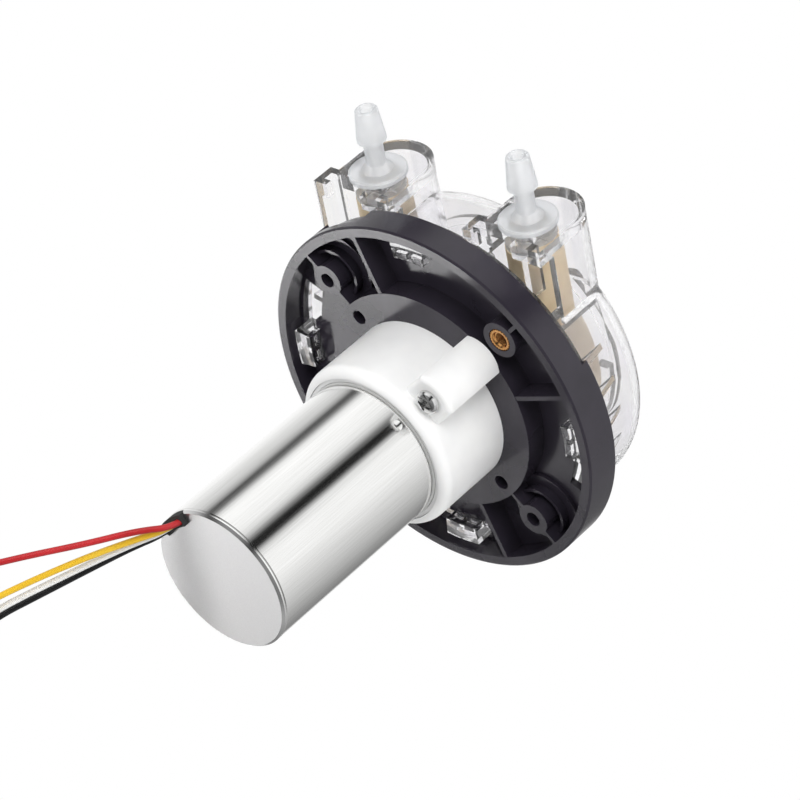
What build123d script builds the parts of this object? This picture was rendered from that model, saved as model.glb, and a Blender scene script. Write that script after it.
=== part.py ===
"""Peristaltic pump head: bayonet cartridge with rollers and tube, planetary gearbox, brushless motor.

The pump axis is Y. +Y points to the motor, -Y to the clear cover, +Z to the two hose barbs.
The origin lies on the axis at the rear rim of the base ring, which is the panel face. Millimetres.
"""
import os
from math import atan2, cos, degrees, pi, radians, sin, sqrt, tan

from build123d import *

os.makedirs("parts", exist_ok=True)

# ---- driving dimensions -------------------------------------------------------------------
# base ring: rim, floor, raised platform
RIM_R = 41.0  # outer radius of the ring
RIM_WALL = 2.35  # rim wall thickness
SKIRT_DEPTH = 8.5  # rim depth over the lower part
WELL_DEPTH = 5.1  # from the rear rim to the floor
FLOOR_T = 1.5
PLATFORM_R = 25.4
PLATE_T = 2.2  # platform top plate
PLATFORM_WALL = 3.6
HUB_WALL = 2.45  # wall round the gearbox spigot
CUT_START = 24.0  # the rim is lower between these angles, to clear the ports
CUT_STOP = 155.5
PANEL_HOLE_R = 1.65
EAR_BOSS_R = 3.5
EAR_RING_R = 5.9  # low ring wall round each ear boss
EAR_RING_WALL = 0.7
EAR_RING_DROP = 2.4  # its top, below the rear rim
EAR_PAD_R = 8.2
EAR_PAD_DROP = 4.3
INSERT_R = 2.6
INSERT_BORE_R = 1.3
INSERT_LEAD = 0.4  # chamfer at the mouth
INSERT_LENGTH = 5.6
INSERT_BOSS_R = 4.0
SCREW_PCD = 44.4  # gearbox fixing circle
SCREW_HOLE_R = 1.65
SCREW_BOSS_WALL = 1.4
RIB_T = 1.0
RIB_START = 70.6
SHORT_RIB_T = 0.8
NOTCH_START = 50.0  # grip recess in the rim
NOTCH_STOP = 72.0
NOTCH_DROP = 2.2
NOTCH_DEPTH = 1.2

# bayonet between the cover and the base
HOOK_INSET = 3.45  # from the inside of the rim to the hooks
HOOK_T = 2.4
HOOK_HALF = 6.5  # half angle of a hook
HOOK_DROP = 1.5  # its top, below the rear rim
LIP_REACH = 1.6  # how far the lip reaches over the floor
LIP_GAP = 0.3
TWIST = 17.5  # from locked to free
SLOT_GAP = 0.5  # round the hook, radially
SLOT_END_GAP = 1.2  # degrees

# clear cover
FLANGE_CLEAR = 0.45  # flange to the inside of the rim
FLANGE_WIDTH = 2.8  # flange outside the dome
DOME_WALL = 1.6
DOME_ROUND = 6.0
DISC_RISE = 1.2  # the raised disc on the front face
FLANGE_T = 2.5
FLANGE_GAP = 0.3  # to the floor of the base
GUSSET_T = 1.3
GUSSET_DEPTH = 10.0
GUSSET_STEP = 12.0  # degrees between gussets
PORT_X = 19.6
PORT_TOP = 39.4
PORT_HALF = 8.7
PORT_WALL = 1.5
PORT_FOOT = 20.7  # top of the port's floor
PORT_BACK_STEP = 8.0  # from the tube's centre plane to the ports' rear edges
PORT_STEP_BACK = 3.8  # where the straight walls end and the rear posts start
PORT_ROUND_STEP = 4.2  # from the tube's centre plane to the rounded wall's centre
POST_X = 10.1  # rear post, from the port's middle
POST_T = 1.6
BLOCK_X = 4.6  # rear block's post, on the other side
BLOCK_END = 1.5
BLOCK_HEIGHT = 3.4
PORT_LIP = 1.6  # how far the post's lip reaches inwards
HOOK_POCKET_WALL = 0.7

# tube: the outside is as measured, bore and wall are the standard size that fits it
TUBE_R = 5.55
TUBE_WALL = 1.6
TUBE_DEPTH = 17.2  # depth of the tube's and barbs' centre plane
FLAT_WIDTH = 15.0  # width of the tube where the rollers squeeze it
SEAT_GAP = 0.3  # between pieces that face each other on different bodies
BED_GAP = 0.1  # tube to its bed, one body
BED_WALL = 1.4
BED_TOP = 17.0

# rotor
ROLLER_COUNT = 3
ROLLER_R = 6.0
ROLLER_LENGTH = 15.2
PIN_R = 1.5
PIN_GAP = 0.05
ROTOR_PLATE_T = 1.4
COVER_SPACE = 0.7  # rotor to the inside of the cover
DISC_EXTRA = 0.4  # the front disc is thicker than the dome
LOBE_R = 4.0
ROTOR_SCREW_R = 1.5
ROTOR_SCREW_LENGTH = 7.0
ROTOR_HEAD_R = 2.9
ROTOR_HEAD_SINK = 0.8
HUB_R = 7.0
SHAFT_R = 3.0
SHAFT_GAP = 0.05
ROLLER_START = 30.0

# hose barbs
BARB_TIP_Z = 55.2
BARB_TIP_R = 2.4
BARB_R = 3.1
BARB_LENGTH = 7.4
BARB_NECK_R = 2.05
BARB_BORE_R = 1.2
DISC_R = 6.15
DISC_Z = 40.8
DISC_T = 1.2
COLLAR_Z = 36.0  # the collar bears on the shelf from below
NECK_R = 4.1
COLLAR_R = 5.4
COLLAR_T = 1.4
PLUG_LENGTH = 9.0  # the part pushed into the tube

# gearbox
HOUSING_R = 18.9
HOUSING_LENGTH = 18.7
HOUSING_ROUND = 2.4
HOUSING_WALL = 2.0
FRONT_WALL = 1.6
SPIGOT_R = 12.0
SPIGOT_LENGTH = 5.5
FIT_GAP = 0.05
BUSH_R = 6.5
LUG_HALF = 4.85  # half the width between the lug's flat flanks
LUG_TOP_R = 27.0  # top of the lug, from the pump axis
LUG_ROUND = 6.2  # radius of the lug's crown
LUG_EDGE = 1.2  # rounding of its rear edge
LUG_LENGTH = 15.5
SCREW_HEAD_R = 2.6
SCREW_HEAD_T = 1.9
SCREW_SHANK_R = 1.45
RECESS_WIDTH = 0.7  # arms of the cross recess
RECESS_SPAN = 3.0
RECESS_TURN = 20.0
RECESS_DEPTH = 1.3
MODULE = 0.6
SUN_TEETH = 12
PLANET_TEETH = 18
GEAR_WIDTH = 7.0
BACKLASH = 0.16
CARRIER_R = 11.6
CARRIER_T = 2.2
GEAR_START = 4.8  # first station of the gear teeth behind the panel face
PLATE_SPACE = 0.4

# motor
MOTOR_R = 16.0
MOTOR_FRONT = 17.25
MOTOR_LENGTH = 48.0
MOTOR_WALL = 0.8
CAP_T = 1.0
CAP_BEVEL = 0.5
SEAM_BEVEL = 0.2  # groove between the can and its end cap
DENT_TURN = 133.5  # small dent near the front of the can
DENT_Y = 21.0
DENT_R = 2.0
DENT_DEPTH = 0.4
MOTOR_SHAFT_R = 1.15
MOTOR_BOSS_R = 5.0
ADAPTER_T = 1.5
CAP_SPIGOT = 2.4
BUSH_LENGTH = 3.4
BUSH_WALL = 2.4
SHAFT_RUN = 0.03  # shaft clearance in its bushes
STATOR_LENGTH = 22.0
STATOR_POLES = 6
MAGNET_R = 6.4
MAGNET_LENGTH = 24.0

# lead wires
WIRE_R = 0.65
GROMMET_IN = 13.2
GROMMET_OUT = 15.1
GROMMET_LIP_R = 15.8
GROMMET_START = 35.0
GROMMET_STOP = 65.5
GROMMET_PROUD = 1.05
WIRE_START_R = 14.2
WIRE_TURNS = (61.5, 54.0, 46.5, 39.0)  # red, yellow, white, black
WIRE_START = 64.0
WIRE_STRAIGHT = 3.8

# ---- derived values -----------------------------------------------------------------------
RIM_IN = RIM_R - RIM_WALL
FLOOR_FRONT = WELL_DEPTH + FLOOR_T
PANEL_R = (PLATFORM_R + RIM_IN) / 2 + 0.1  # circle of the two clear holes
INSERT_CIRCLE_R = PANEL_R - 0.25  # circle of the two brass inserts
SCREW_R = SCREW_PCD / 2
HOOK_IN_R = RIM_IN - HOOK_INSET
HOOK_OUT_R = HOOK_IN_R + HOOK_T
FLANGE_R = RIM_IN - FLANGE_CLEAR
DOME_R = FLANGE_R - FLANGE_WIDTH
PORT_BACK = TUBE_DEPTH - PORT_BACK_STEP
PORT_STEP = TUBE_DEPTH - PORT_STEP_BACK
PORT_ROUND = TUBE_DEPTH + PORT_ROUND_STEP
BED_R = PORT_X + TUBE_R + BED_GAP
FLAT_T = 2 * TUBE_WALL
FLAT_IN_R = PORT_X + TUBE_R - FLAT_T
ORBIT_R = FLAT_IN_R - SEAT_GAP - ROLLER_R
FLANGE_BACK = FLOOR_FRONT + FLANGE_GAP
FLANGE_FRONT = FLANGE_BACK + FLANGE_T
DOME_IN = DOME_R - DOME_WALL
ROLLER_BACK = TUBE_DEPTH - ROLLER_LENGTH / 2
ROLLER_FRONT = TUBE_DEPTH + ROLLER_LENGTH / 2
PLATE_BACK = ROLLER_BACK - SEAT_GAP
PLATE_FRONT = ROLLER_FRONT + SEAT_GAP
DOME_FRONT = PLATE_FRONT + ROTOR_PLATE_T + COVER_SPACE + DOME_WALL + DISC_EXTRA - DISC_RISE
RING_TEETH = SUN_TEETH + 2 * PLANET_TEETH
GEAR_ORBIT = MODULE * (SUN_TEETH + PLANET_TEETH) / 2
GEAR_END = GEAR_START + GEAR_WIDTH
CARRIER_END = GEAR_START - PLATE_SPACE
RING_GEAR_R = HOUSING_R - HOUSING_WALL
MOTOR_END = MOTOR_FRONT + MOTOR_LENGTH
SHELF_T = DISC_Z - DISC_T - COLLAR_Z - 2 * FIT_GAP
ADAPTER_FRONT = MOTOR_FRONT - ADAPTER_T - FIT_GAP
ANGLES = (0, 90, 180, 270)
LUG_TURNS = (135, 315)


def station(y):
    """Return the plane across the pump axis at y: local X and Z, normal towards the front (-Y)."""
    return Plane.XZ.offset(-y)


def post_foot(x):
    """Return the height at which a port's post at x stands on the round flange."""
    return sqrt(FLANGE_R**2 - (abs(x) + POST_T / 2) ** 2) - 1.5


def sector(inner, outer, start, stop, mode=Mode.ADD):
    """Draw a ring sector between two radii and two angles in the open sketch."""
    with BuildLine() as outline:
        rim = CenterArc((0, 0), outer, start, stop - start)
        bore = CenterArc((0, 0), inner, start, stop - start)
        Line(rim @ 0, bore @ 0)
        Line(rim @ 1, bore @ 1)
    make_face(outline.edges(), mode=mode)


def finish(name, part):
    """Label a finished piece and write its STEP file."""
    part.label = name
    export_step(part, f"parts/{name}.step")


# ---- base ring ----------------------------------------------------------------------------
with BuildPart() as base_ring:
    with BuildSketch(Plane.XY):
        with BuildLine():
            Polyline(
                (RIM_R, 0),
                (RIM_R, -SKIRT_DEPTH),
                (RIM_IN, -SKIRT_DEPTH),
                (RIM_IN, -FLOOR_FRONT),
                (PLATFORM_R - PLATFORM_WALL, -FLOOR_FRONT),
                (PLATFORM_R - PLATFORM_WALL, -PLATE_T),
                (SPIGOT_R + FIT_GAP + HUB_WALL, -PLATE_T),
                (SPIGOT_R + FIT_GAP + HUB_WALL, -FLOOR_FRONT),
                (SPIGOT_R + FIT_GAP, -FLOOR_FRONT),
                (SPIGOT_R + FIT_GAP, 0),
                (PLATFORM_R, 0),
                (PLATFORM_R, -WELL_DEPTH),
                (RIM_IN, -WELL_DEPTH),
                (RIM_IN, 0),
                close=True,
            )
        make_face()
    revolve(axis=Axis.Y)
    rim_edges = base_ring.edges().filter_by(GeomType.CIRCLE).filter_by(lambda e: abs(e.radius - RIM_R) < 0.01)
    chamfer(rim_edges, 0.4)
    # the land that backs the tube on its bed
    with BuildSketch(station(-FLOOR_FRONT)):
        sector(FLAT_IN_R + SEAT_GAP, BED_R - 2 * SEAT_GAP, 180, 360)
    extrude(amount=TUBE_DEPTH - FLAT_WIDTH / 2 - SEAT_GAP - FLOOR_FRONT)
    # the rim is lower where the ports cross it, and has a grip recess
    with BuildSketch(station(-FLOOR_FRONT)):
        sector(RIM_IN - 0.2, RIM_R + 1, CUT_START, CUT_STOP)
    extrude(amount=SKIRT_DEPTH, mode=Mode.SUBTRACT)
    with BuildSketch(station(-NOTCH_DROP)):
        sector(RIM_R - NOTCH_DEPTH, RIM_R + 1, NOTCH_START, NOTCH_STOP)
    extrude(amount=SKIRT_DEPTH, mode=Mode.SUBTRACT)
    # ribs from the platform to the rim
    for turn in ANGLES:
        with BuildSketch(station(-WELL_DEPTH)):
            with Locations(Rotation(0, 0, RIB_START + turn)):
                with Locations(((PLATFORM_R + RIM_IN) / 2, 0)):
                    Rectangle(RIM_IN - PLATFORM_R + 0.8, RIB_T)
        extrude(amount=-(WELL_DEPTH - 0.1))
    # ear bosses with their ring walls and pads, and the insert bosses
    for turn in (45, 225):
        with BuildSketch(station(-WELL_DEPTH)):
            with PolarLocations(PANEL_R, 1, turn):
                Circle(EAR_PAD_R)
            Circle(PLATFORM_R - 0.5, mode=Mode.SUBTRACT)
            with BuildSketch(mode=Mode.PRIVATE) as rim_disc:
                Circle(RIM_IN + 0.4)
            add(rim_disc.sketch, mode=Mode.INTERSECT)
        extrude(amount=-(WELL_DEPTH - EAR_PAD_DROP))
        with BuildSketch(station(-WELL_DEPTH)):
            with PolarLocations(PANEL_R, 1, turn):
                Circle(EAR_RING_R)
                Circle(EAR_RING_R - EAR_RING_WALL, mode=Mode.SUBTRACT)
        extrude(amount=-(WELL_DEPTH - EAR_RING_DROP))
        with BuildSketch(station(-WELL_DEPTH)):
            with PolarLocations(PANEL_R, 1, turn):
                Circle(EAR_BOSS_R)
        extrude(amount=-WELL_DEPTH)
        with BuildSketch(station(-WELL_DEPTH)):
            with Locations(Rotation(0, 0, turn)):
                with Locations(((PLATFORM_R + RIM_IN) / 2, 0)):
                    Rectangle(RIM_IN - PLATFORM_R + 0.8, SHORT_RIB_T)
        extrude(amount=-(WELL_DEPTH - 0.1))
    with BuildSketch(station(-FLOOR_FRONT)):
        with PolarLocations(INSERT_CIRCLE_R, 2, 135):
            Circle(INSERT_BOSS_R)
    extrude(amount=-FLOOR_FRONT)
    with BuildSketch(station(-WELL_DEPTH)):
        with PolarLocations((INSERT_CIRCLE_R + RIM_IN) / 2, 2, 135):
            Rectangle(RIM_IN - INSERT_CIRCLE_R + 0.8, SHORT_RIB_T)
    extrude(amount=-(WELL_DEPTH - 0.1))
    # bosses under the gearbox screws, on the front side
    with BuildSketch(station(-FLOOR_FRONT)):
        with PolarLocations(SCREW_R, 4, 45):
            Circle(SCREW_HOLE_R + SCREW_BOSS_WALL)
    extrude(amount=-(FLOOR_FRONT - PLATE_T / 2))
    # holes
    with BuildSketch(station(-SKIRT_DEPTH - 2)):
        with PolarLocations(PANEL_R, 2, 45):
            Circle(PANEL_HOLE_R)
        with PolarLocations(SCREW_R, 4, 45):
            Circle(SCREW_HOLE_R)
    extrude(amount=-(SKIRT_DEPTH + 4), mode=Mode.SUBTRACT)
    with BuildSketch(station(0)):
        with PolarLocations(INSERT_CIRCLE_R, 2, 135):
            Circle(INSERT_R)
    extrude(amount=INSERT_LENGTH, mode=Mode.SUBTRACT)
    # bayonet slots: a narrow track and a wide entry
    for turn in ANGLES:
        with BuildSketch(station(-WELL_DEPTH + 0.5)):
            sector(
                HOOK_IN_R - SLOT_GAP,
                HOOK_OUT_R + SLOT_GAP,
                turn - HOOK_HALF - SLOT_END_GAP,
                turn + TWIST + HOOK_HALF + SLOT_END_GAP,
            )
        extrude(amount=FLOOR_T + 1, mode=Mode.SUBTRACT)
        with BuildSketch(station(-WELL_DEPTH + 0.5)):
            sector(
                HOOK_IN_R - LIP_REACH - SLOT_GAP,
                HOOK_OUT_R,
                turn + TWIST - HOOK_HALF - SLOT_END_GAP,
                turn + TWIST + HOOK_HALF + SLOT_END_GAP,
            )
        extrude(amount=FLOOR_T + 1, mode=Mode.SUBTRACT)
finish("base_ring", base_ring.part)

# ---- brass inserts ------------------------------------------------------------------------
with BuildPart() as threaded_inserts:
    with BuildSketch(station(0)):
        with PolarLocations(INSERT_CIRCLE_R, 2, 135):
            Circle(INSERT_R - 0.02)
            Circle(INSERT_BORE_R, mode=Mode.SUBTRACT)
    extrude(amount=INSERT_LENGTH - 0.1)
    mouths = threaded_inserts.faces().sort_by(Axis.Y)[-2:].edges().filter_by(GeomType.CIRCLE)
    chamfer(mouths.filter_by(lambda edge: edge.radius < INSERT_BORE_R + 0.1), INSERT_LEAD)
finish("threaded_inserts", threaded_inserts.part)

# ---- clear cover --------------------------------------------------------------------------
# one port's wall in plan, in the XY plane: local X across the port, local Y along the pump axis
def port_plan(middle, half, back):
    """Draw the plan of a port in the open sketch: straight sides, a rounded front, a flat rear."""
    with BuildLine() as outline:
        Polyline(
            (middle - half, -PORT_ROUND),
            (middle - half, -back),
            (middle + half, -back),
            (middle + half, -PORT_ROUND),
        )
        CenterArc((middle, -PORT_ROUND), half, 180, 180)
    make_face(outline.edges())


with BuildPart() as clear_cover:
    # domed shell with its flange
    with BuildSketch(Plane.XY):
        with BuildLine():
            outer_round = CenterArc((DOME_R - DOME_ROUND, -DOME_FRONT + DOME_ROUND), DOME_ROUND, 270, 90)
            inner_round = CenterArc(
                (DOME_R - DOME_ROUND, -DOME_FRONT + DOME_ROUND), DOME_ROUND - DOME_WALL, 270, 90
            )
            Polyline(
                outer_round @ 0,
                (BED_R + BED_WALL, -DOME_FRONT),
                (BED_R + BED_WALL, -DOME_FRONT - DISC_RISE),
                (0, -DOME_FRONT - DISC_RISE),
                (0, -DOME_FRONT - DISC_RISE + DOME_WALL + DISC_EXTRA),
                (BED_R, -DOME_FRONT - DISC_RISE + DOME_WALL + DISC_EXTRA),
                (BED_R, -DOME_FRONT + DOME_WALL),
                inner_round @ 0,
            )
            Polyline(
                outer_round @ 1,
                (DOME_R, -FLANGE_FRONT),
                (FLANGE_R, -FLANGE_FRONT),
                (FLANGE_R, -FLANGE_BACK),
                (DOME_IN, -FLANGE_BACK),
                inner_round @ 1,
            )
        make_face()
    revolve(axis=Axis.Y)
    # the U-shaped bed that the rollers press the tube against
    with BuildSketch(station(-FLANGE_BACK)):
        sector(BED_R, BED_R + BED_WALL, 180, 360)
        with Locations((BED_R + BED_WALL / 2, BED_TOP / 2), (-BED_R - BED_WALL / 2, BED_TOP / 2)):
            Rectangle(BED_WALL, BED_TOP)
    extrude(amount=DOME_FRONT - FLANGE_BACK)
    # the shoulder in front of the flattened tube
    with BuildSketch(station(-(TUBE_DEPTH + FLAT_WIDTH / 2 + SEAT_GAP))):
        sector(FLAT_IN_R + SEAT_GAP, BED_R + 0.2, 180, 360)
    extrude(amount=DOME_FRONT - TUBE_DEPTH - FLAT_WIDTH / 2 - SEAT_GAP)
    # ports
    for side in (-1, 1):
        with BuildSketch(Plane.XY.offset(PORT_FOOT - PORT_WALL)):
            port_plan(side * PORT_X, PORT_HALF, PORT_STEP)
        extrude(amount=PORT_TOP - PORT_FOOT + PORT_WALL)
    for side in (-1, 1):
        with BuildSketch(Plane.XY.offset(PORT_FOOT)):
            port_plan(side * PORT_X, PORT_HALF - PORT_WALL, FLANGE_FRONT)
        extrude(amount=PORT_TOP - PORT_FOOT + 1, mode=Mode.SUBTRACT)
        # the tube passes the port's floor inside the dome
        with BuildSketch(Plane.XY.offset(PORT_FOOT + 1)):
            with Locations((side * PORT_X, -(FLANGE_FRONT + DOME_FRONT - DOME_WALL) / 2)):
                Rectangle(2 * (PORT_HALF - PORT_WALL), DOME_FRONT - DOME_WALL - FLANGE_FRONT)
        extrude(amount=-PORT_WALL - 2, mode=Mode.SUBTRACT)
    # shelf that carries the barb's neck, open to the rear so that the barb slides in
    for side in (-1, 1):
        with BuildSketch(Plane.XY.offset(DISC_Z - DISC_T - FIT_GAP)):
            port_plan(side * PORT_X, PORT_HALF - PORT_WALL / 2, PORT_STEP)
            with Locations((side * PORT_X, -TUBE_DEPTH)):
                Circle(NECK_R + FIT_GAP, mode=Mode.SUBTRACT)
            with Locations((side * PORT_X, -(TUBE_DEPTH + PORT_BACK) / 2)):
                Rectangle(2 * (NECK_R + FIT_GAP), TUBE_DEPTH - PORT_BACK, mode=Mode.SUBTRACT)
        extrude(amount=-SHELF_T)
    # rear edges of the ports: a post on one side, a block on a post on the other
    for side in (-1, 1):
        middle = side * PORT_X
        with BuildSketch(Plane.XY.offset(PORT_TOP)):
            with Locations((middle + POST_X, -(PORT_BACK + PORT_STEP) / 2)):
                Rectangle(POST_T, PORT_STEP - PORT_BACK)
            web_end = POST_X + POST_T / 2
            web_start = PORT_HALF - PORT_WALL
            with Locations((middle + (web_end + web_start) / 2, -PORT_STEP - POST_T / 2 + 0.3)):
                Rectangle(web_end - web_start, POST_T)
        extrude(amount=-(PORT_TOP - post_foot(middle + POST_X)))
        with BuildSketch(Plane.XY.offset(PORT_TOP)):
            with Locations((middle - BLOCK_X, -(PORT_BACK + PORT_STEP - 0.3) / 2)):
                Rectangle(POST_T, PORT_STEP - 0.3 - PORT_BACK)
        extrude(amount=-(PORT_TOP - post_foot(middle - BLOCK_X)))
        with BuildSketch(Plane.XY.offset(PORT_TOP)):
            with Locations((middle - (PORT_HALF + BLOCK_END) / 2, -(PORT_BACK + PORT_STEP - 0.3) / 2)):
                Rectangle(PORT_HALF - BLOCK_END, PORT_STEP - 0.3 - PORT_BACK)
            with Locations((middle - (PORT_HALF + NECK_R + FIT_GAP) / 2, -PORT_STEP)):
                Rectangle(PORT_HALF - NECK_R - FIT_GAP, 1.2)
        extrude(amount=-BLOCK_HEIGHT)
        with BuildSketch(Plane.XY.offset(PORT_TOP)):
            with Locations((middle + POST_X - POST_T / 2 - PORT_LIP / 2, -PORT_BACK - POST_T / 2)):
                Rectangle(PORT_LIP + 0.4, POST_T)
        extrude(amount=-BLOCK_HEIGHT)
    # gussets between the flange and the dome
    gusset_count = int((360 - (CUT_STOP - CUT_START)) / GUSSET_STEP)
    for index in range(gusset_count):
        turn = CUT_STOP + 3 + index * GUSSET_STEP
        across = (cos(radians(turn)), 0, sin(radians(turn)))
        along = (sin(radians(turn)), 0, -cos(radians(turn)))
        with BuildSketch(Plane(origin=(0, 0, 0), x_dir=across, z_dir=along)):
            with BuildLine():
                Polyline(
                    (DOME_R - 0.5, FLANGE_FRONT - 0.5),
                    (FLANGE_R - 0.6, FLANGE_FRONT - 0.5),
                    (FLANGE_R - 0.6, FLANGE_FRONT + 0.8),
                    (DOME_R - 0.5, FLANGE_FRONT + GUSSET_DEPTH),
                    close=True,
                )
            make_face()
        extrude(amount=GUSSET_T / 2, both=True)
    # bayonet hooks: a tab through the slot, a lip over the floor, two core pockets on the inside
    for turn in ANGLES:
        with BuildSketch(station(-HOOK_DROP)):
            sector(HOOK_IN_R, HOOK_OUT_R, turn - HOOK_HALF, turn + HOOK_HALF)
        extrude(amount=FLANGE_BACK - HOOK_DROP + 0.5)
        with BuildSketch(station(-HOOK_DROP)):
            sector(HOOK_IN_R - LIP_REACH, HOOK_IN_R + 0.2, turn - HOOK_HALF, turn + HOOK_HALF)
        extrude(amount=WELL_DEPTH - LIP_GAP - HOOK_DROP)
        for half_turn in (-0.25, 0.25):
            with BuildSketch(station(-HOOK_DROP - HOOK_POCKET_WALL)):
                middle_turn = turn + 2 * HOOK_HALF * half_turn
                pocket_half = HOOK_HALF / 2 - 1.1
                sector(
                    HOOK_IN_R - LIP_REACH - 0.2,
                    HOOK_IN_R - 0.3,
                    middle_turn - pocket_half,
                    middle_turn + pocket_half,
                )
            extrude(amount=WELL_DEPTH - LIP_GAP - HOOK_DROP - 2 * HOOK_POCKET_WALL, mode=Mode.SUBTRACT)
finish("clear_cover", clear_cover.part)

# ---- hose barbs ---------------------------------------------------------------------------
PLUG_R = TUBE_R - TUBE_WALL  # the tube's bore
for side, name in ((1, "inlet_barb"), (-1, "outlet_barb")):
    with BuildPart() as barb:
        with BuildSketch(Plane.XZ):
            with BuildLine():
                Polyline(
                    (BARB_BORE_R, COLLAR_Z - COLLAR_T - PLUG_LENGTH),
                    (PLUG_R - 0.6, COLLAR_Z - COLLAR_T - PLUG_LENGTH),
                    (PLUG_R - FIT_GAP, COLLAR_Z - COLLAR_T - PLUG_LENGTH + 2),
                    (PLUG_R - FIT_GAP, COLLAR_Z - COLLAR_T),
                    (COLLAR_R, COLLAR_Z - COLLAR_T),
                    (COLLAR_R, COLLAR_Z),
                    (NECK_R, COLLAR_Z),
                    (NECK_R, DISC_Z - DISC_T),
                    (DISC_R, DISC_Z - DISC_T),
                    (DISC_R, DISC_Z - 0.3),
                    (DISC_R - 0.3, DISC_Z),
                    (BARB_R + 0.3, DISC_Z),
                    (BARB_NECK_R, DISC_Z + 1.4),
                    (BARB_NECK_R, BARB_TIP_Z - BARB_LENGTH),
                    (BARB_R, BARB_TIP_Z - BARB_LENGTH),
                    (BARB_R, BARB_TIP_Z - BARB_LENGTH + 0.8),
                    (BARB_TIP_R, BARB_TIP_Z - 0.3),
                    (BARB_TIP_R - 0.3, BARB_TIP_Z),
                    (BARB_BORE_R + 0.5, BARB_TIP_Z),
                    (BARB_BORE_R, BARB_TIP_Z - 0.6),
                    close=True,
                )
            make_face()
        revolve(axis=Axis.Z)
    finish(name, Pos(side * PORT_X, -TUBE_DEPTH, 0) * barb.part)

# ---- pump tube ----------------------------------------------------------------------------
# round where it meets the barbs, squeezed flat along the bed, always outside the rollers' sweep
TUBE_END = COLLAR_Z - COLLAR_T
SWEEP_R = FLAT_IN_R
ROUND_FROM = sqrt(SWEEP_R**2 - (PORT_X - TUBE_R) ** 2) + 0.5
with BuildPart() as pump_tube:
    for side in (-1, 1):
        outer_x = PORT_X + TUBE_R
        heights = (ROUND_FROM, ROUND_FROM * 0.8, ROUND_FROM * 0.55, ROUND_FROM * 0.28, 0)
        for height in heights:
            thick = min(2 * TUBE_R, outer_x - sqrt(SWEEP_R**2 - height**2))
            share = (2 * TUBE_R - thick) / (2 * TUBE_R - FLAT_T)
            wide = 2 * TUBE_R + share * (FLAT_WIDTH - 2 * TUBE_R)
            with BuildSketch(Plane.XY.offset(height)):
                with Locations((side * (outer_x - thick / 2), -TUBE_DEPTH)):
                    Ellipse(thick / 2, wide / 2)
        loft()
        with BuildSketch(Plane.XY.offset(ROUND_FROM)):
            with Locations((side * PORT_X, -TUBE_DEPTH)):
                Circle(TUBE_R)
        extrude(amount=TUBE_END - ROUND_FROM)
        with BuildSketch(Plane.XY.offset(TUBE_END)):
            with Locations((side * PORT_X, -TUBE_DEPTH)):
                Circle(PLUG_R)
        extrude(amount=-PLUG_LENGTH - 3, mode=Mode.SUBTRACT)
    with BuildSketch(Plane.XY):
        with Locations((PORT_X + TUBE_R - FLAT_T / 2, -TUBE_DEPTH)):
            Ellipse(FLAT_T / 2, FLAT_WIDTH / 2)
    revolve(axis=Axis.Y, revolution_arc=180)
finish("pump_tube", pump_tube.part)

# ---- rotor --------------------------------------------------------------------------------
def lobes(depth, thick, bore):
    """Draw a three-lobed plate with pin holes, its rear face at the given depth; return the part."""
    with BuildPart() as plate:
        with BuildSketch(station(-depth)):
            with PolarLocations(ORBIT_R, ROLLER_COUNT, ROLLER_START):
                Circle(LOBE_R)
            Circle(HUB_R)
            make_hull()
        extrude(amount=thick)
        with BuildSketch(station(-depth)):
            with PolarLocations(ORBIT_R, ROLLER_COUNT, ROLLER_START):
                Circle(PIN_R + 0.01)
            Circle(bore)
            with PolarLocations((ORBIT_R + HUB_R) / 2 - 1, ROLLER_COUNT, ROLLER_START + 180 / ROLLER_COUNT):
                Circle(1.8)
        extrude(amount=thick, mode=Mode.SUBTRACT)
    return plate.part


with BuildPart() as rotor_back:
    add(lobes(PLATE_BACK - ROTOR_PLATE_T, ROTOR_PLATE_T, SHAFT_R + 0.01))
    with BuildSketch(station(-PLATE_BACK)):
        Circle(HUB_R)
        Circle(SHAFT_R + 0.01, mode=Mode.SUBTRACT)
    extrude(amount=PLATE_FRONT - PLATE_BACK)
finish("rotor_back", rotor_back.part)

with BuildPart() as rotor_front:
    add(lobes(PLATE_FRONT, ROTOR_PLATE_T, ROTOR_SCREW_R + 0.1))
    with BuildSketch(station(-PLATE_FRONT - ROTOR_PLATE_T)):
        Circle(ROTOR_HEAD_R + 0.2)
    extrude(amount=-ROTOR_HEAD_SINK, mode=Mode.SUBTRACT)
finish("rotor_front", rotor_front.part)

with BuildPart() as roller_pins:
    with BuildSketch(station(-PLATE_BACK + ROTOR_PLATE_T)):
        with PolarLocations(ORBIT_R, ROLLER_COUNT, ROLLER_START):
            Circle(PIN_R)
    extrude(amount=PLATE_FRONT - PLATE_BACK + 2 * ROTOR_PLATE_T)
finish("roller_pins", roller_pins.part)

for index in range(ROLLER_COUNT):
    turn = radians(ROLLER_START + index * 360 / ROLLER_COUNT)
    with BuildPart() as roller:
        with BuildSketch(Plane.XY):
            with BuildLine():
                Polyline(
                    (PIN_R + PIN_GAP, -ROLLER_BACK),
                    (ROLLER_R - 0.5, -ROLLER_BACK),
                    (ROLLER_R, -ROLLER_BACK - 0.5),
                    (ROLLER_R, -ROLLER_FRONT + 0.5),
                    (ROLLER_R - 0.5, -ROLLER_FRONT),
                    (PIN_R + PIN_GAP, -ROLLER_FRONT),
                    close=True,
                )
            make_face()
        revolve(axis=Axis.Y)
    finish(f"roller_{index + 1}", Pos(ORBIT_R * cos(turn), 0, ORBIT_R * sin(turn)) * roller.part)

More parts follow.
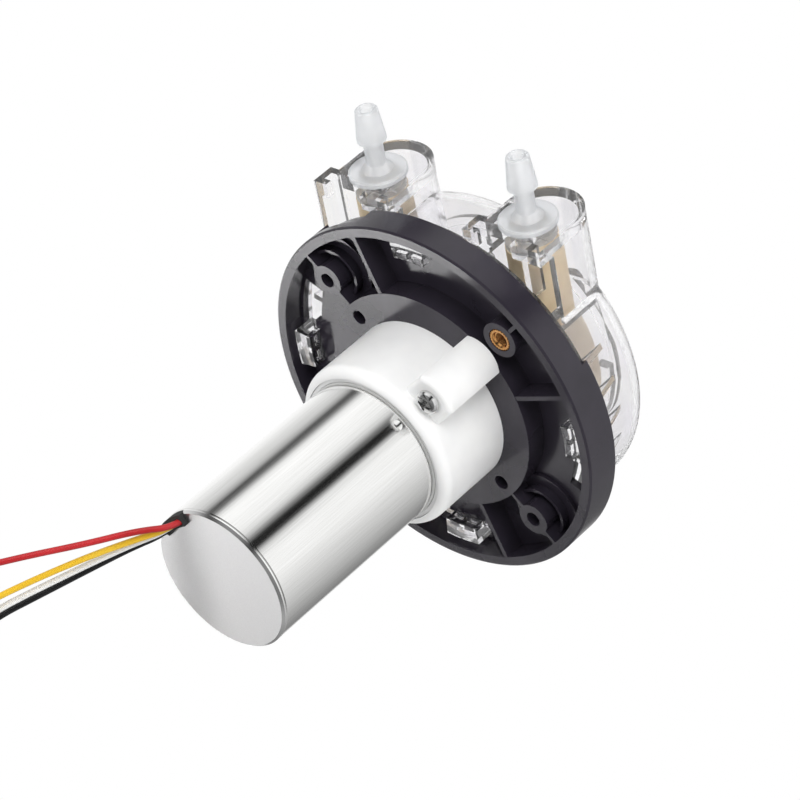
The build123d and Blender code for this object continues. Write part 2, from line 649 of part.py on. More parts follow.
with BuildPart() as rotor_screw:
    head_seat = PLATE_FRONT + ROTOR_PLATE_T - ROTOR_HEAD_SINK
    with BuildSketch(station(-head_seat)):
        Circle(ROTOR_HEAD_R)
    extrude(amount=ROTOR_HEAD_SINK)
    with BuildSketch(station(-head_seat)):
        Circle(ROTOR_SCREW_R)
    extrude(amount=-ROTOR_SCREW_LENGTH)
finish("rotor_screw", rotor_screw.part)

# ---- output shaft and carrier -------------------------------------------------------------
with BuildPart() as output_shaft:
    with BuildSketch(station(CARRIER_END)):
        Circle(SHAFT_R)
    extrude(amount=CARRIER_END + PLATE_FRONT - 0.2)
    with BuildSketch(station(-PLATE_FRONT)):
        Circle(ROTOR_SCREW_R + 0.02)
    extrude(amount=-ROTOR_SCREW_LENGTH, mode=Mode.SUBTRACT)
finish("output_shaft", output_shaft.part)

PLANET_TURNS = tuple(90 + 120 * index for index in range(3))
with BuildPart() as planet_carrier:
    with BuildSketch(station(CARRIER_END)):
        Circle(CARRIER_R)
        Circle(SHAFT_R + 0.01, mode=Mode.SUBTRACT)
    extrude(amount=CARRIER_T)
    with BuildSketch(station(CARRIER_END)):
        with PolarLocations(GEAR_ORBIT, 3, PLANET_TURNS[0]):
            Circle(PIN_R)
    extrude(amount=-(GEAR_END - CARRIER_END))
finish("planet_carrier", planet_carrier.part)

# ---- gears --------------------------------------------------------------------------------
PRESSURE = radians(20)
ADDENDUM = 0.8 * MODULE
DEDENDUM = 1.05 * MODULE


def involute(angle):
    """Return the involute of an angle."""
    return tan(angle) - angle


def tooth_points(teeth, root, tip, thick, turn):
    """List the points of a gear outline: four per flank, from root to tip and back."""
    pitch = MODULE * teeth / 2
    base = pitch * cos(PRESSURE)
    radii = [max(root, base) + (tip - max(root, base)) * step / 3 for step in range(4)]
    points = []
    for index in range(teeth):
        middle = radians(turn) + 2 * pi * index / teeth
        flank = []
        for radius in radii:
            pressure = 0 if radius <= base else atan2(sqrt(radius**2 - base**2), base)
            half = thick / 2 / pitch + involute(PRESSURE) - involute(pressure)
            flank.append((radius, half))
        if root < base:
            flank.insert(0, (root, flank[0][1]))
        points += [(r * cos(middle - half), r * sin(middle - half)) for r, half in flank]
        points += [(r * cos(middle + half), r * sin(middle + half)) for r, half in reversed(flank)]
    return points


def gear_face(teeth, root, tip, thick, turn):
    """Return a gear's outline as a face in the open sketch's own axes."""
    points = tooth_points(teeth, root, tip, thick, turn)
    return make_face(Polyline(*points, close=True), mode=Mode.PRIVATE)


HALF_PITCH = pi * MODULE / 2
sun_pitch = MODULE * SUN_TEETH / 2
planet_pitch = MODULE * PLANET_TEETH / 2
ring_pitch = MODULE * RING_TEETH / 2
sun_outline = gear_face(
    SUN_TEETH, sun_pitch - DEDENDUM, sun_pitch + ADDENDUM, HALF_PITCH - BACKLASH / 2, PLANET_TURNS[0]
)
ring_outline = gear_face(
    RING_TEETH,
    ring_pitch - ADDENDUM,
    ring_pitch + DEDENDUM,
    HALF_PITCH + BACKLASH / 2,
    PLANET_TURNS[0] + 180 / RING_TEETH,
)
with BuildPart() as sun_gear:
    with BuildSketch(station(GEAR_END)):
        add(sun_outline)
        Circle(MOTOR_SHAFT_R + 0.01, mode=Mode.SUBTRACT)
    extrude(amount=GEAR_WIDTH)
finish("sun_gear", sun_gear.part)

with BuildPart() as ring_gear:
    with BuildSketch(station(ADAPTER_FRONT)):
        Circle(RING_GEAR_R - FIT_GAP)
        add(ring_outline, mode=Mode.SUBTRACT)
    extrude(amount=ADAPTER_FRONT - GEAR_START + PLATE_SPACE)
finish("ring_gear", ring_gear.part)

for index, turn in enumerate(PLANET_TURNS):
    planet_outline = gear_face(
        PLANET_TEETH,
        planet_pitch - DEDENDUM,
        planet_pitch + ADDENDUM,
        HALF_PITCH - BACKLASH / 2,
        turn + 180 / PLANET_TEETH,
    )
    with BuildPart() as planet:
        with BuildSketch(station(GEAR_END)):
            with Locations((GEAR_ORBIT * cos(radians(turn)), GEAR_ORBIT * sin(radians(turn)))):
                add(planet_outline)
                Circle(PIN_R + PIN_GAP, mode=Mode.SUBTRACT)
        extrude(amount=GEAR_WIDTH)
    finish(f"planet_gear_{index + 1}", planet.part)

# ---- gearbox housing ----------------------------------------------------------------------
with BuildPart() as gearbox_housing:
    with BuildSketch(Plane.XY):
        with BuildLine():
            rear_round = CenterArc(
                (HOUSING_R - HOUSING_ROUND, HOUSING_LENGTH - HOUSING_ROUND), HOUSING_ROUND, 0, 90
            )
            Polyline(
                rear_round @ 1,
                (RING_GEAR_R, HOUSING_LENGTH),
                (RING_GEAR_R, GEAR_START - PLATE_SPACE),
                (RING_GEAR_R - HOUSING_WALL, GEAR_START - PLATE_SPACE),
                (RING_GEAR_R - HOUSING_WALL, FRONT_WALL),
                (BUSH_R, FRONT_WALL),
                (BUSH_R, -SPIGOT_LENGTH),
                (SPIGOT_R, -SPIGOT_LENGTH),
                (SPIGOT_R, 0),
                (HOUSING_R, 0),
                rear_round @ 0,
            )
        make_face()
    revolve(axis=Axis.Y)
    # two lugs with flat flanks and a crowned top
    for turn in LUG_TURNS:
        with BuildPart(mode=Mode.PRIVATE) as lug:
            with BuildSketch(station(0)):
                with PolarLocations(LUG_TOP_R - LUG_ROUND, 1, turn):
                    Circle(LUG_ROUND)
                with PolarLocations(LUG_TOP_R - LUG_ROUND, 1, turn):
                    Rectangle(2 * LUG_ROUND, 2 * LUG_HALF, mode=Mode.INTERSECT)
            extrude(amount=-LUG_LENGTH)
            fillet(lug.faces().sort_by(Axis.Y)[-1].edges(), LUG_EDGE)
            with BuildSketch(station(0)):
                Circle(RING_GEAR_R + 0.4)
            extrude(amount=-LUG_LENGTH, mode=Mode.SUBTRACT)
            with BuildSketch(station(0)):
                with PolarLocations(SCREW_R, 1, turn):
                    Circle(SCREW_HOLE_R)
            extrude(amount=-LUG_LENGTH, mode=Mode.SUBTRACT)
        add(lug.part)
    with BuildSketch(station(0)):
        with PolarLocations(SCREW_R, 2, LUG_TURNS[0]):
            Circle(SCREW_HOLE_R)
    extrude(amount=-LUG_LENGTH, mode=Mode.SUBTRACT)
finish("gearbox_housing", gearbox_housing.part)

with BuildPart() as output_bush:
    with BuildSketch(station(FRONT_WALL)):
        Circle(BUSH_R - 0.01)
        Circle(SHAFT_R + SHAFT_GAP, mode=Mode.SUBTRACT)
    extrude(amount=FRONT_WALL + SPIGOT_LENGTH)
finish("output_bush", output_bush.part)

with BuildPart() as gearbox_screws:
    with BuildSketch(Plane.XY):
        with BuildLine():
            dome = ThreePointArc(
                (0, LUG_LENGTH + SCREW_HEAD_T),
                (SCREW_HEAD_R * 0.62, LUG_LENGTH + SCREW_HEAD_T * 0.86),
                (SCREW_HEAD_R, LUG_LENGTH + SCREW_HEAD_T * 0.35),
            )
            Polyline(
                dome @ 1,
                (SCREW_HEAD_R, LUG_LENGTH),
                (SCREW_SHANK_R, LUG_LENGTH),
                (SCREW_SHANK_R, -FLOOR_FRONT + 0.5),
                (0, -FLOOR_FRONT + 0.5),
                dome @ 0,
            )
        make_face()
    revolve(axis=Axis.Y)
    with BuildSketch(station(LUG_LENGTH + SCREW_HEAD_T - RECESS_DEPTH)):
        Rectangle(RECESS_WIDTH, RECESS_SPAN, rotation=RECESS_TURN)
        Rectangle(RECESS_SPAN, RECESS_WIDTH, rotation=RECESS_TURN)
        Circle(RECESS_WIDTH)
    extrude(amount=-RECESS_DEPTH - 1, taper=-8, mode=Mode.SUBTRACT)
screw = gearbox_screws.part
spots = [(SCREW_R * cos(radians(turn)), SCREW_R * sin(radians(turn))) for turn in LUG_TURNS]
finish("gearbox_screws", Compound(children=[Pos(x, 0, z) * screw for x, z in spots]))

# ---- motor --------------------------------------------------------------------------------
with BuildPart() as motor_adapter:
    with BuildSketch(station(ADAPTER_FRONT)):
        Circle(RING_GEAR_R - FIT_GAP)
        Circle(MOTOR_BOSS_R + FIT_GAP, mode=Mode.SUBTRACT)
    extrude(amount=-ADAPTER_T)
    with BuildSketch(station(ADAPTER_FRONT)):
        Circle(RING_GEAR_R - FIT_GAP)
        Circle(MOTOR_R + FIT_GAP, mode=Mode.SUBTRACT)
    extrude(amount=-(HOUSING_LENGTH - 0.3 - ADAPTER_FRONT))
finish("motor_adapter", motor_adapter.part)

with BuildPart() as motor_can:
    with BuildSketch(Plane.XY):
        with BuildLine():
            Polyline(
                (MOTOR_SHAFT_R + BUSH_WALL, MOTOR_FRONT - 1),
                (MOTOR_BOSS_R, MOTOR_FRONT - 1),
                (MOTOR_BOSS_R, MOTOR_FRONT),
                (MOTOR_R, MOTOR_FRONT),
                (MOTOR_R, MOTOR_END - CAP_T - SEAM_BEVEL),
                (MOTOR_R - SEAM_BEVEL, MOTOR_END - CAP_T),
                (MOTOR_R - MOTOR_WALL, MOTOR_END - CAP_T),
                (MOTOR_R - MOTOR_WALL, MOTOR_FRONT + MOTOR_WALL),
                (MOTOR_SHAFT_R + BUSH_WALL, MOTOR_FRONT + MOTOR_WALL),
                close=True,
            )
        make_face()
    revolve(axis=Axis.Y)
    dent_reach = MOTOR_R + DENT_R - DENT_DEPTH
    with Locations((dent_reach * cos(radians(DENT_TURN)), DENT_Y, dent_reach * sin(radians(DENT_TURN)))):
        Sphere(DENT_R, mode=Mode.SUBTRACT)
finish("motor_can", motor_can.part)

with BuildPart() as motor_end_cap:
    with BuildSketch(station(MOTOR_END)):
        Circle(MOTOR_R)
    extrude(amount=CAP_T)
    chamfer(motor_end_cap.faces().sort_by(Axis.Y)[-1].edges(), CAP_BEVEL)
    chamfer(motor_end_cap.faces().sort_by(Axis.Y)[0].edges(), SEAM_BEVEL)
    with BuildSketch(station(MOTOR_END - CAP_T)):
        Circle(MOTOR_R - MOTOR_WALL - FIT_GAP)
    extrude(amount=CAP_SPIGOT)
    with BuildSketch(station(MOTOR_END - CAP_T - CAP_SPIGOT)):
        Circle(MOTOR_SHAFT_R + BUSH_WALL)
    extrude(amount=-CAP_SPIGOT, mode=Mode.SUBTRACT)
    with BuildSketch(station(MOTOR_END)):
        sector(GROMMET_IN, MOTOR_R + 0.5, GROMMET_START, GROMMET_STOP)
    extrude(amount=CAP_T + CAP_SPIGOT, mode=Mode.SUBTRACT)
finish("motor_end_cap", motor_end_cap.part)

with BuildPart() as wire_grommet:
    with BuildSketch(station(MOTOR_END + GROMMET_PROUD)):
        sector(GROMMET_IN + 0.03, GROMMET_LIP_R, GROMMET_START + 0.3, GROMMET_STOP - 0.3)
    extrude(amount=GROMMET_PROUD + CAP_T - 0.03)
    with BuildSketch(station(MOTOR_END)):
        sector(GROMMET_IN + 0.03, GROMMET_OUT, GROMMET_START + 0.3, GROMMET_STOP - 0.3)
    extrude(amount=CAP_T + CAP_SPIGOT)
    with BuildSketch(station(MOTOR_END + GROMMET_PROUD)):
        for turn in WIRE_TURNS:
            with PolarLocations(WIRE_START_R, 1, turn):
                Circle(WIRE_R + 0.03)
    extrude(amount=GROMMET_PROUD + CAP_T + CAP_SPIGOT, mode=Mode.SUBTRACT)
finish("wire_grommet", wire_grommet.part)

with BuildPart() as motor_shaft:
    with BuildSketch(station(GEAR_START)):
        Circle(MOTOR_SHAFT_R)
    extrude(amount=-(MOTOR_END - CAP_T - 0.6 - GEAR_START))
finish("motor_shaft", motor_shaft.part)

with BuildPart() as motor_bushes:
    for start in (MOTOR_FRONT - 1, MOTOR_END - CAP_T - CAP_SPIGOT - BUSH_LENGTH + CAP_SPIGOT):
        with BuildSketch(station(start)):
            Circle(MOTOR_SHAFT_R + BUSH_WALL - 0.02)
            Circle(MOTOR_SHAFT_R + SHAFT_RUN, mode=Mode.SUBTRACT)
        extrude(amount=-BUSH_LENGTH)
finish("motor_bushes", motor_bushes.part)

MAGNET_FRONT = (MOTOR_FRONT + MOTOR_END - MAGNET_LENGTH) / 2
with BuildPart() as magnet_rotor:
    with BuildSketch(station(MAGNET_FRONT)):
        Circle(MAGNET_R)
        Circle(MOTOR_SHAFT_R + 0.01, mode=Mode.SUBTRACT)
    extrude(amount=-MAGNET_LENGTH)
finish("magnet_rotor", magnet_rotor.part)

with BuildPart() as stator_core:
    with BuildSketch(station((MOTOR_FRONT + MOTOR_END - STATOR_LENGTH) / 2)):
        Circle(MOTOR_R - MOTOR_WALL - 0.02)
        Circle(MOTOR_R - MOTOR_WALL - 1.6, mode=Mode.SUBTRACT)
        with PolarLocations((MOTOR_R - MOTOR_WALL - 1.6 + MAGNET_R + 0.5) / 2 + 0.3, STATOR_POLES):
            Rectangle(MOTOR_R - MOTOR_WALL - 1.6 - MAGNET_R - 0.5 + 0.4, 3.0)
    extrude(amount=-STATOR_LENGTH)
finish("stator_core", stator_core.part)

# ---- lead wires ---------------------------------------------------------------------------
# each wire runs straight out of the grommet, past the motor, and then hangs down
WIRE_ROUTES = {
    "lead_red": [
        (12.1, 72.6, 13.0), (19.0, 80.4, 12.7), (27.0, 89.8, 13.2), (35.0, 99.0, 13.0),
        (42.0, 105.0, 8.0), (45.4, 106.4, -3.0), (46.5, 106.5, -20.0), (45.2, 105.2, -43.0),
        (46.6, 104.2, -65.0),
    ],
    "lead_yellow": [
        (13.4, 72.8, 10.4), (20.0, 79.8, 8.7), (27.6, 88.3, 6.1), (35.0, 96.8, 3.0),
        (40.7, 102.6, -2.4), (43.0, 104.5, -12.5), (43.8, 105.0, -28.0), (42.6, 104.0, -49.0),
        (44.0, 102.8, -70.0),
    ],
    "lead_white": [
        (14.6, 72.4, 8.7), (20.8, 78.7, 6.1), (28.0, 86.6, 2.9), (35.2, 94.7, -0.4),
        (40.4, 100.2, -6.0), (42.2, 102.0, -16.0), (44.0, 102.6, -31.5), (47.0, 101.8, -52.0),
        (47.2, 101.2, -72.0),
    ],
    "lead_black": [
        (15.8, 72.0, 7.0), (22.0, 78.4, 3.9), (29.4, 86.4, 0.2), (36.6, 94.0, -3.4),
        (41.9, 98.9, -9.2), (43.8, 100.0, -19.5), (46.6, 99.8, -35.5), (48.4, 99.4, -57.0),
        (49.6, 98.8, -78.0),
    ],
}
for turn, (name, free_points) in zip(WIRE_TURNS, WIRE_ROUTES.items()):
    start_x = WIRE_START_R * cos(radians(turn))
    start_z = WIRE_START_R * sin(radians(turn))
    first = [(start_x, WIRE_START + run, start_z) for run in (0, WIRE_STRAIGHT)]
    points = first + free_points
    places = [Vector(*point) for point in points]
    runs = [places[index + 1] - places[index] for index in range(len(places) - 1)]
    turns = [runs[index].get_angle(runs[index + 1]) for index in range(len(runs) - 1)]
    radii = [
        0.45 * min(runs[index].length, runs[index + 1].length) / tan(radians(turns[index] / 2))
        for index in range(len(turns))
    ]
    with BuildPart() as lead:
        with BuildLine():
            path = FilletPolyline(*points, radius=radii)
        with BuildSketch(Plane(origin=path @ 0, z_dir=path % 0)):
            Circle(WIRE_R)
        sweep()
    finish(name, lead.part)
    print(name, "length", round(path.length, 1), "radii", [round(radius, 1) for radius in radii])
    print("  volume", round(lead.part.volume, 2), "section x length", round(pi * WIRE_R**2 * path.length, 2))
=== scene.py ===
"""Peristaltic pump head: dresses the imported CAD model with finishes, lead wires and studio light.

Everything is in metres, in the CAD frame: the pump axis is Y, +Y points to the motor and +Z to the
two hose barbs. The origin is on the axis, in the plane of the base ring's rear rim.
"""

import logging
from dataclasses import dataclass, field
from enum import Enum
from math import asin, cos, pi, radians, sin
from typing import Any

import bpy
from mathutils import Matrix, Vector


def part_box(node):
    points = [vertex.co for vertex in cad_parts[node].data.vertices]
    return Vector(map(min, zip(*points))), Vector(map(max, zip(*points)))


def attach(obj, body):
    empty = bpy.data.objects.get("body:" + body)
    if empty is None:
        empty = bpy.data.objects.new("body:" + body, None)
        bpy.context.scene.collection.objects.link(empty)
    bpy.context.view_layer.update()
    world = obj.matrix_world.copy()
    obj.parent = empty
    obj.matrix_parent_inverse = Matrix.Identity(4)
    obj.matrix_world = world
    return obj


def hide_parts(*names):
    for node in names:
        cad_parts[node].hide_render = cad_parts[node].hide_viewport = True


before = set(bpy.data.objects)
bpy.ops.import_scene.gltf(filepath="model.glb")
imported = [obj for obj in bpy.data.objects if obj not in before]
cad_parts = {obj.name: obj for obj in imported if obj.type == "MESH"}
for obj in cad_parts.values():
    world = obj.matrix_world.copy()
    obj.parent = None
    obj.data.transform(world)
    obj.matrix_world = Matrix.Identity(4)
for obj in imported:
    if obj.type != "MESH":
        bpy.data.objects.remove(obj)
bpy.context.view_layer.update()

MM = 0.001
Triple = tuple[float, float, float]  # a place, a direction or a stretch
Face = tuple[int, ...]  # the numbers of a face's points
EVEN = (1.0, 1.0, 1.0)  # stretch of a metal's pattern that runs no way in particular
log = logging.getLogger("pump_head")


def linear(hex_colour: str) -> tuple[float, float, float, float]:
    """Turn an sRGB hex colour into linear RGBA.

    Args:
        hex_colour: six hex digits, with or without a leading hash.

    Returns:
        Linear red, green and blue, and an alpha of 1.
    """
    digits = hex_colour.lstrip("#")
    channels = [int(digits[place : place + 2], 16) / 255 for place in (0, 2, 4)]
    curve = [c / 12.92 if c <= 0.04045 else ((c + 0.055) / 1.055) ** 2.4 for c in channels]
    return (curve[0], curve[1], curve[2], 1.0)


def add_node(
    tree: bpy.types.NodeTree,
    kind: str,
    settings: dict[str, Any] | None = None,
    inputs: dict[str, Any] | None = None,
    stops: list[tuple[float, str]] | None = None,
) -> bpy.types.Node:
    """Add one shader node with its settings and links.

    Args:
        tree: node tree that gets the node.
        kind: Blender's type name of the node.
        settings: properties of the node itself.
        inputs: value, colour or output socket for each input, by its name or its number.
        stops: place and hex colour of each stop of a colour ramp, in order.

    Returns:
        The new node.
    """
    node = tree.nodes.new(kind)
    for name, value in (settings or {}).items():
        setattr(node, name, value)
    for index, (place, colour) in enumerate(stops or []):
        # a new ramp has two stops of its own
        stop = node.color_ramp.elements[index] if index < 2 else node.color_ramp.elements.new(place)
        stop.position = place
        stop.color = linear(colour)
    for name, value in (inputs or {}).items():
        socket = node.inputs[int(name) if name.isdigit() else name]
        if isinstance(value, bpy.types.NodeSocket):
            tree.links.new(value, socket)
        else:
            socket.default_value = value
    return node


def new_material(name: str) -> tuple[bpy.types.Material, bpy.types.NodeTree, bpy.types.Node]:
    """Make an empty node material.

    Args:
        name: the finish's plain name.

    Returns:
        The material, its node tree and its output node.
    """
    material = bpy.data.materials.new(name)
    material.use_nodes = True
    tree = material.node_tree
    tree.nodes.clear()
    output = add_node(tree, "ShaderNodeOutputMaterial")
    return material, tree, output


def skin_object(
    name: str,
    points: list[Triple],
    faces: list[Face],
    material: bpy.types.Material,
    sharp_degrees: float,
) -> bpy.types.Object:
    """Make a smooth-shaded mesh object with sharp edges where its skin turns.

    Args:
        name: name of the object and its mesh.
        points: its points, in metres.
        faces: the points of each face.
        material: its one material.
        sharp_degrees: an edge that turns by more than this stays sharp.

    Returns:
        The object, linked to the scene.
    """
    mesh = bpy.data.meshes.new(name)
    mesh.from_pydata(points, [], faces)
    mesh.materials.append(material)
    mesh.shade_smooth()
    mesh.set_sharp_from_angle(angle=radians(sharp_degrees))
    skin = bpy.data.objects.new(name, mesh)
    bpy.context.scene.collection.objects.link(skin)
    return skin


def white_to_camera(
    tree: bpy.types.NodeTree, lit: bpy.types.NodeSocket, white: bpy.types.NodeSocket
) -> bpy.types.NodeSocket:
    """Show one shader straight to the camera or through clear pieces, and another to all other rays.

    Args:
        tree: node tree of the material or the world.
        lit: shader that lights the scene.
        white: shader that is seen.

    Returns:
        The mixed shader's socket.
    """
    path = add_node(tree, "ShaderNodeLightPath")
    seen = add_node(
        tree,
        "ShaderNodeMath",
        {"operation": "MAXIMUM"},
        {"0": path.outputs["Is Camera Ray"], "1": path.outputs["Is Transmission Ray"]},
    )
    mixed = add_node(tree, "ShaderNodeMixShader", inputs={"0": seen.outputs[0], "1": lit, "2": white})
    return mixed.outputs[0]


@dataclass(frozen=True)
class MouldedPlastic:
    """An opaque plastic or rubber: a fine grain from its mould and a slow drift of colour."""

    name: str
    dark: str
    light: str
    roughness: float = 0.42
    ior: float = 1.52
    # the grain of a spark-eroded mould is finer: it is drawn as coarse as it needs to show
    grain_mm: float = 0.35
    grain_depth_mm: float = 0.006
    grain_strength: float = 0.35
    # the colour and the roughness drift over about 11 mm, between two shares of the noise
    drift_mm: float = 100 / 9
    drift_band: tuple[float, float] = (0.3, 0.7)
    roughness_swing: float = 0.05
    # how far light goes under the skin, in metres, for a plastic that glows
    subsurface: float = 0.0
    glow_radius: Triple = (0.004, 0.0035, 0.003)
    glow_scale: float = 0.5

    def material(self) -> bpy.types.Material:
        """Build the node material.

        Returns:
            The new material.
        """
        material, tree, output = new_material(self.name)
        place = add_node(tree, "ShaderNodeTexCoord").outputs["Object"]
        drift = add_node(
            tree,
            "ShaderNodeTexNoise",
            inputs={"Vector": place, "Scale": 1.0 / (self.drift_mm * MM), "Detail": 3.0},
        )
        colour = add_node(
            tree,
            "ShaderNodeValToRGB",
            inputs={"Fac": drift.outputs["Fac"]},
            stops=list(zip(self.drift_band, (self.dark, self.light))),
        )
        grain = add_node(
            tree,
            "ShaderNodeTexNoise",
            inputs={"Vector": place, "Scale": 1.0 / (self.grain_mm * MM), "Detail": 2.0},
        )
        bump = add_node(
            tree,
            "ShaderNodeBump",
            inputs={
                "Height": grain.outputs["Fac"],
                "Strength": self.grain_strength,
                "Distance": self.grain_depth_mm * MM,
            },
        )
        rough = add_node(
            tree,
            "ShaderNodeMapRange",
            inputs={
                "Value": drift.outputs["Fac"],
                "To Min": self.roughness - self.roughness_swing,
                "To Max": self.roughness + self.roughness_swing,
            },
        )
        shader = add_node(
            tree,
            "ShaderNodeBsdfPrincipled",
            inputs={
                "Base Color": colour.outputs["Color"],
                "Roughness": rough.outputs["Result"],
                "IOR": self.ior,
                "Subsurface Weight": self.subsurface,
                "Subsurface Radius": self.glow_radius,
                "Subsurface Scale": self.glow_scale,
                "Normal": bump.outputs["Normal"],
            },
        )
        tree.links.new(shader.outputs["BSDF"], output.inputs["Surface"])
        return material


@dataclass(frozen=True)
class ClearPlastic:
    """A clear or cloudy moulded plastic that light passes through."""

    name: str
    tint: str
    tint_deep: str
    roughness: float
    ior: float
    transmission: float
    alpha: float = 1.0
    # the flow of the plastic in its mould: slow ripples, and a drift between the two tints
    ripple_mm: float = 9.0
    ripple_depth_mm: float = 0.02
    ripple_strength: float = 0.5
    tint_band: tuple[float, float] = (0.25, 0.75)
    # how far light goes under the skin, in metres
    subsurface: float = 0.0
    glow_radius: Triple = (0.006, 0.006, 0.006)
    glow_scale: float = 0.6
    # a cloudy plastic: the cool grey shade painted towards its edges, and its alpha where it is seen face on
    painted_edge_shade: str | None = None
    face_on: float = 0.5
    edge_blend: float = 0.45

    def material(self) -> bpy.types.Material:
        """Build the node material.

        Returns:
            The new material.
        """
        material, tree, output = new_material(self.name)
        place = add_node(tree, "ShaderNodeTexCoord").outputs["Object"]
        flow = add_node(
            tree,
            "ShaderNodeTexNoise",
            inputs={"Vector": place, "Scale": 1.0 / (self.ripple_mm * MM), "Detail": 1.0},
        )
        colour = add_node(
            tree,
            "ShaderNodeValToRGB",
            inputs={"Fac": flow.outputs["Fac"]},
            stops=list(zip(self.tint_band, (self.tint_deep, self.tint))),
        ).outputs["Color"]
        alpha: float | bpy.types.NodeSocket = self.alpha
        if self.painted_edge_shade is not None:
            weight = add_node(tree, "ShaderNodeLayerWeight", inputs={"Blend": self.edge_blend})
            edge = weight.outputs["Facing"]
            alpha = add_node(
                tree,
                "ShaderNodeMapRange",
                inputs={"Value": edge, "To Min": self.face_on, "To Max": self.alpha},
            ).outputs["Result"]
            # painted shade: the colour turns cool grey towards the edges; a colour mix takes its share at
            # socket 0 and its colours at 6 and 7, and gives socket 2
            colour = add_node(
                tree,
                "ShaderNodeMix",
                {"data_type": "RGBA"},
                {"0": edge, "6": colour, "7": linear(self.painted_edge_shade)},
            ).outputs[2]
        bump = add_node(
            tree,
            "ShaderNodeBump",
            inputs={
                "Height": flow.outputs["Fac"],
                "Strength": self.ripple_strength,
                "Distance": self.ripple_depth_mm * MM,
            },
        )
        shader = add_node(
            tree,
            "ShaderNodeBsdfPrincipled",
            inputs={
                "Base Color": colour,
                "Roughness": self.roughness,
                "IOR": self.ior,
                "Transmission Weight": self.transmission,
                "Alpha": alpha,
                "Subsurface Weight": self.subsurface,
                "Subsurface Radius": self.glow_radius,
                "Subsurface Scale": self.glow_scale,
                "Normal": bump.outputs["Normal"],
            },
        )
        tree.links.new(shader.outputs["BSDF"], output.inputs["Surface"])
        return material


@dataclass(frozen=True)
class WorkedMetal:
    """A bare or plated metal, with the fine lines of its making or an even fine mottle."""

    name: str
    dark: str
    light: str
    roughness: float
    # real tool lines are finer: they are drawn as coarse as they need to show
    line_mm: float = 0.25
    line_depth_mm: float = 0.004
    line_strength: float = 0.3
    line_band: tuple[float, float] = (0.25, 0.75)
    # a share under 1 draws the pattern out along that axis, here along the pump axis
    stretch: Triple = (1.0, 0.02, 1.0)
    roughness_swing: float = 0.04
    # a part's side and rounded edge: their lighter colour, which is a painted highlight, and their roughness,
    # and how much of the normal lies along the pump axis where they begin and end to give way to the flat
    # face
    painted_edge_highlight: str | None = None
    edge_roughness: float = 0.14
    edge_from: float = 0.6
    edge_to: float = 0.95

    def material(self) -> bpy.types.Material:
        """Build the node material.

        Returns:
            The new material.
        """
        material, tree, output = new_material(self.name)
        coordinates = add_node(tree, "ShaderNodeTexCoord")
        place, normal = coordinates.outputs["Object"], coordinates.outputs["Normal"]
        lengthened = add_node(tree, "ShaderNodeMapping", inputs={"Vector": place, "Scale": self.stretch})
        lines = add_node(
            tree,
            "ShaderNodeTexNoise",
            inputs={
                "Vector": lengthened.outputs["Vector"],
                "Scale": 1.0 / (self.line_mm * MM),
                "Detail": 3.0,
            },
        )
        colour = add_node(
            tree,
            "ShaderNodeValToRGB",
            inputs={"Fac": lines.outputs["Fac"]},
            stops=list(zip(self.line_band, (self.dark, self.light))),
        ).outputs["Color"]
        rough = add_node(
            tree,
            "ShaderNodeMapRange",
            inputs={
                "Value": lines.outputs["Fac"],
                "To Min": self.roughness - self.roughness_swing,
                "To Max": self.roughness + self.roughness_swing,
            },
        ).outputs["Result"]
        if self.painted_edge_highlight is not None:
            facing = add_node(tree, "ShaderNodeSeparateXYZ", inputs={"Vector": normal}).outputs["Y"]
            flat = add_node(
                tree,
                "ShaderNodeMapRange",
                inputs={"Value": facing, "From Min": self.edge_from, "From Max": self.edge_to},
            ).outputs["Result"]
            # painted highlight: the side and rounded edge take a lighter colour and a lower roughness; a mix
            # takes colours at sockets 6 and 7 and gives socket 2, and numbers at 2 and 3 and gives 0
            colour = add_node(
                tree,
                "ShaderNodeMix",
                {"data_type": "RGBA"},
                {"0": flat, "6": linear(self.painted_edge_highlight), "7": colour},
            ).outputs[2]
            rough = add_node(
                tree,
                "ShaderNodeMix",
                {"data_type": "FLOAT"},
                {"0": flat, "2": self.edge_roughness, "3": rough},
            ).outputs[0]
        bump = add_node(
            tree,
            "ShaderNodeBump",
            inputs={
                "Height": lines.outputs["Fac"],
                "Strength": self.line_strength,
                "Distance": self.line_depth_mm * MM,
            },
        )
        shader = add_node(
            tree,
            "ShaderNodeBsdfPrincipled",
            inputs={
                "Base Color": colour,
                "Metallic": 1.0,
                "Roughness": rough,
                "Normal": bump.outputs["Normal"],
            },
        )
        tree.links.new(shader.outputs["BSDF"], output.inputs["Surface"])
        return material


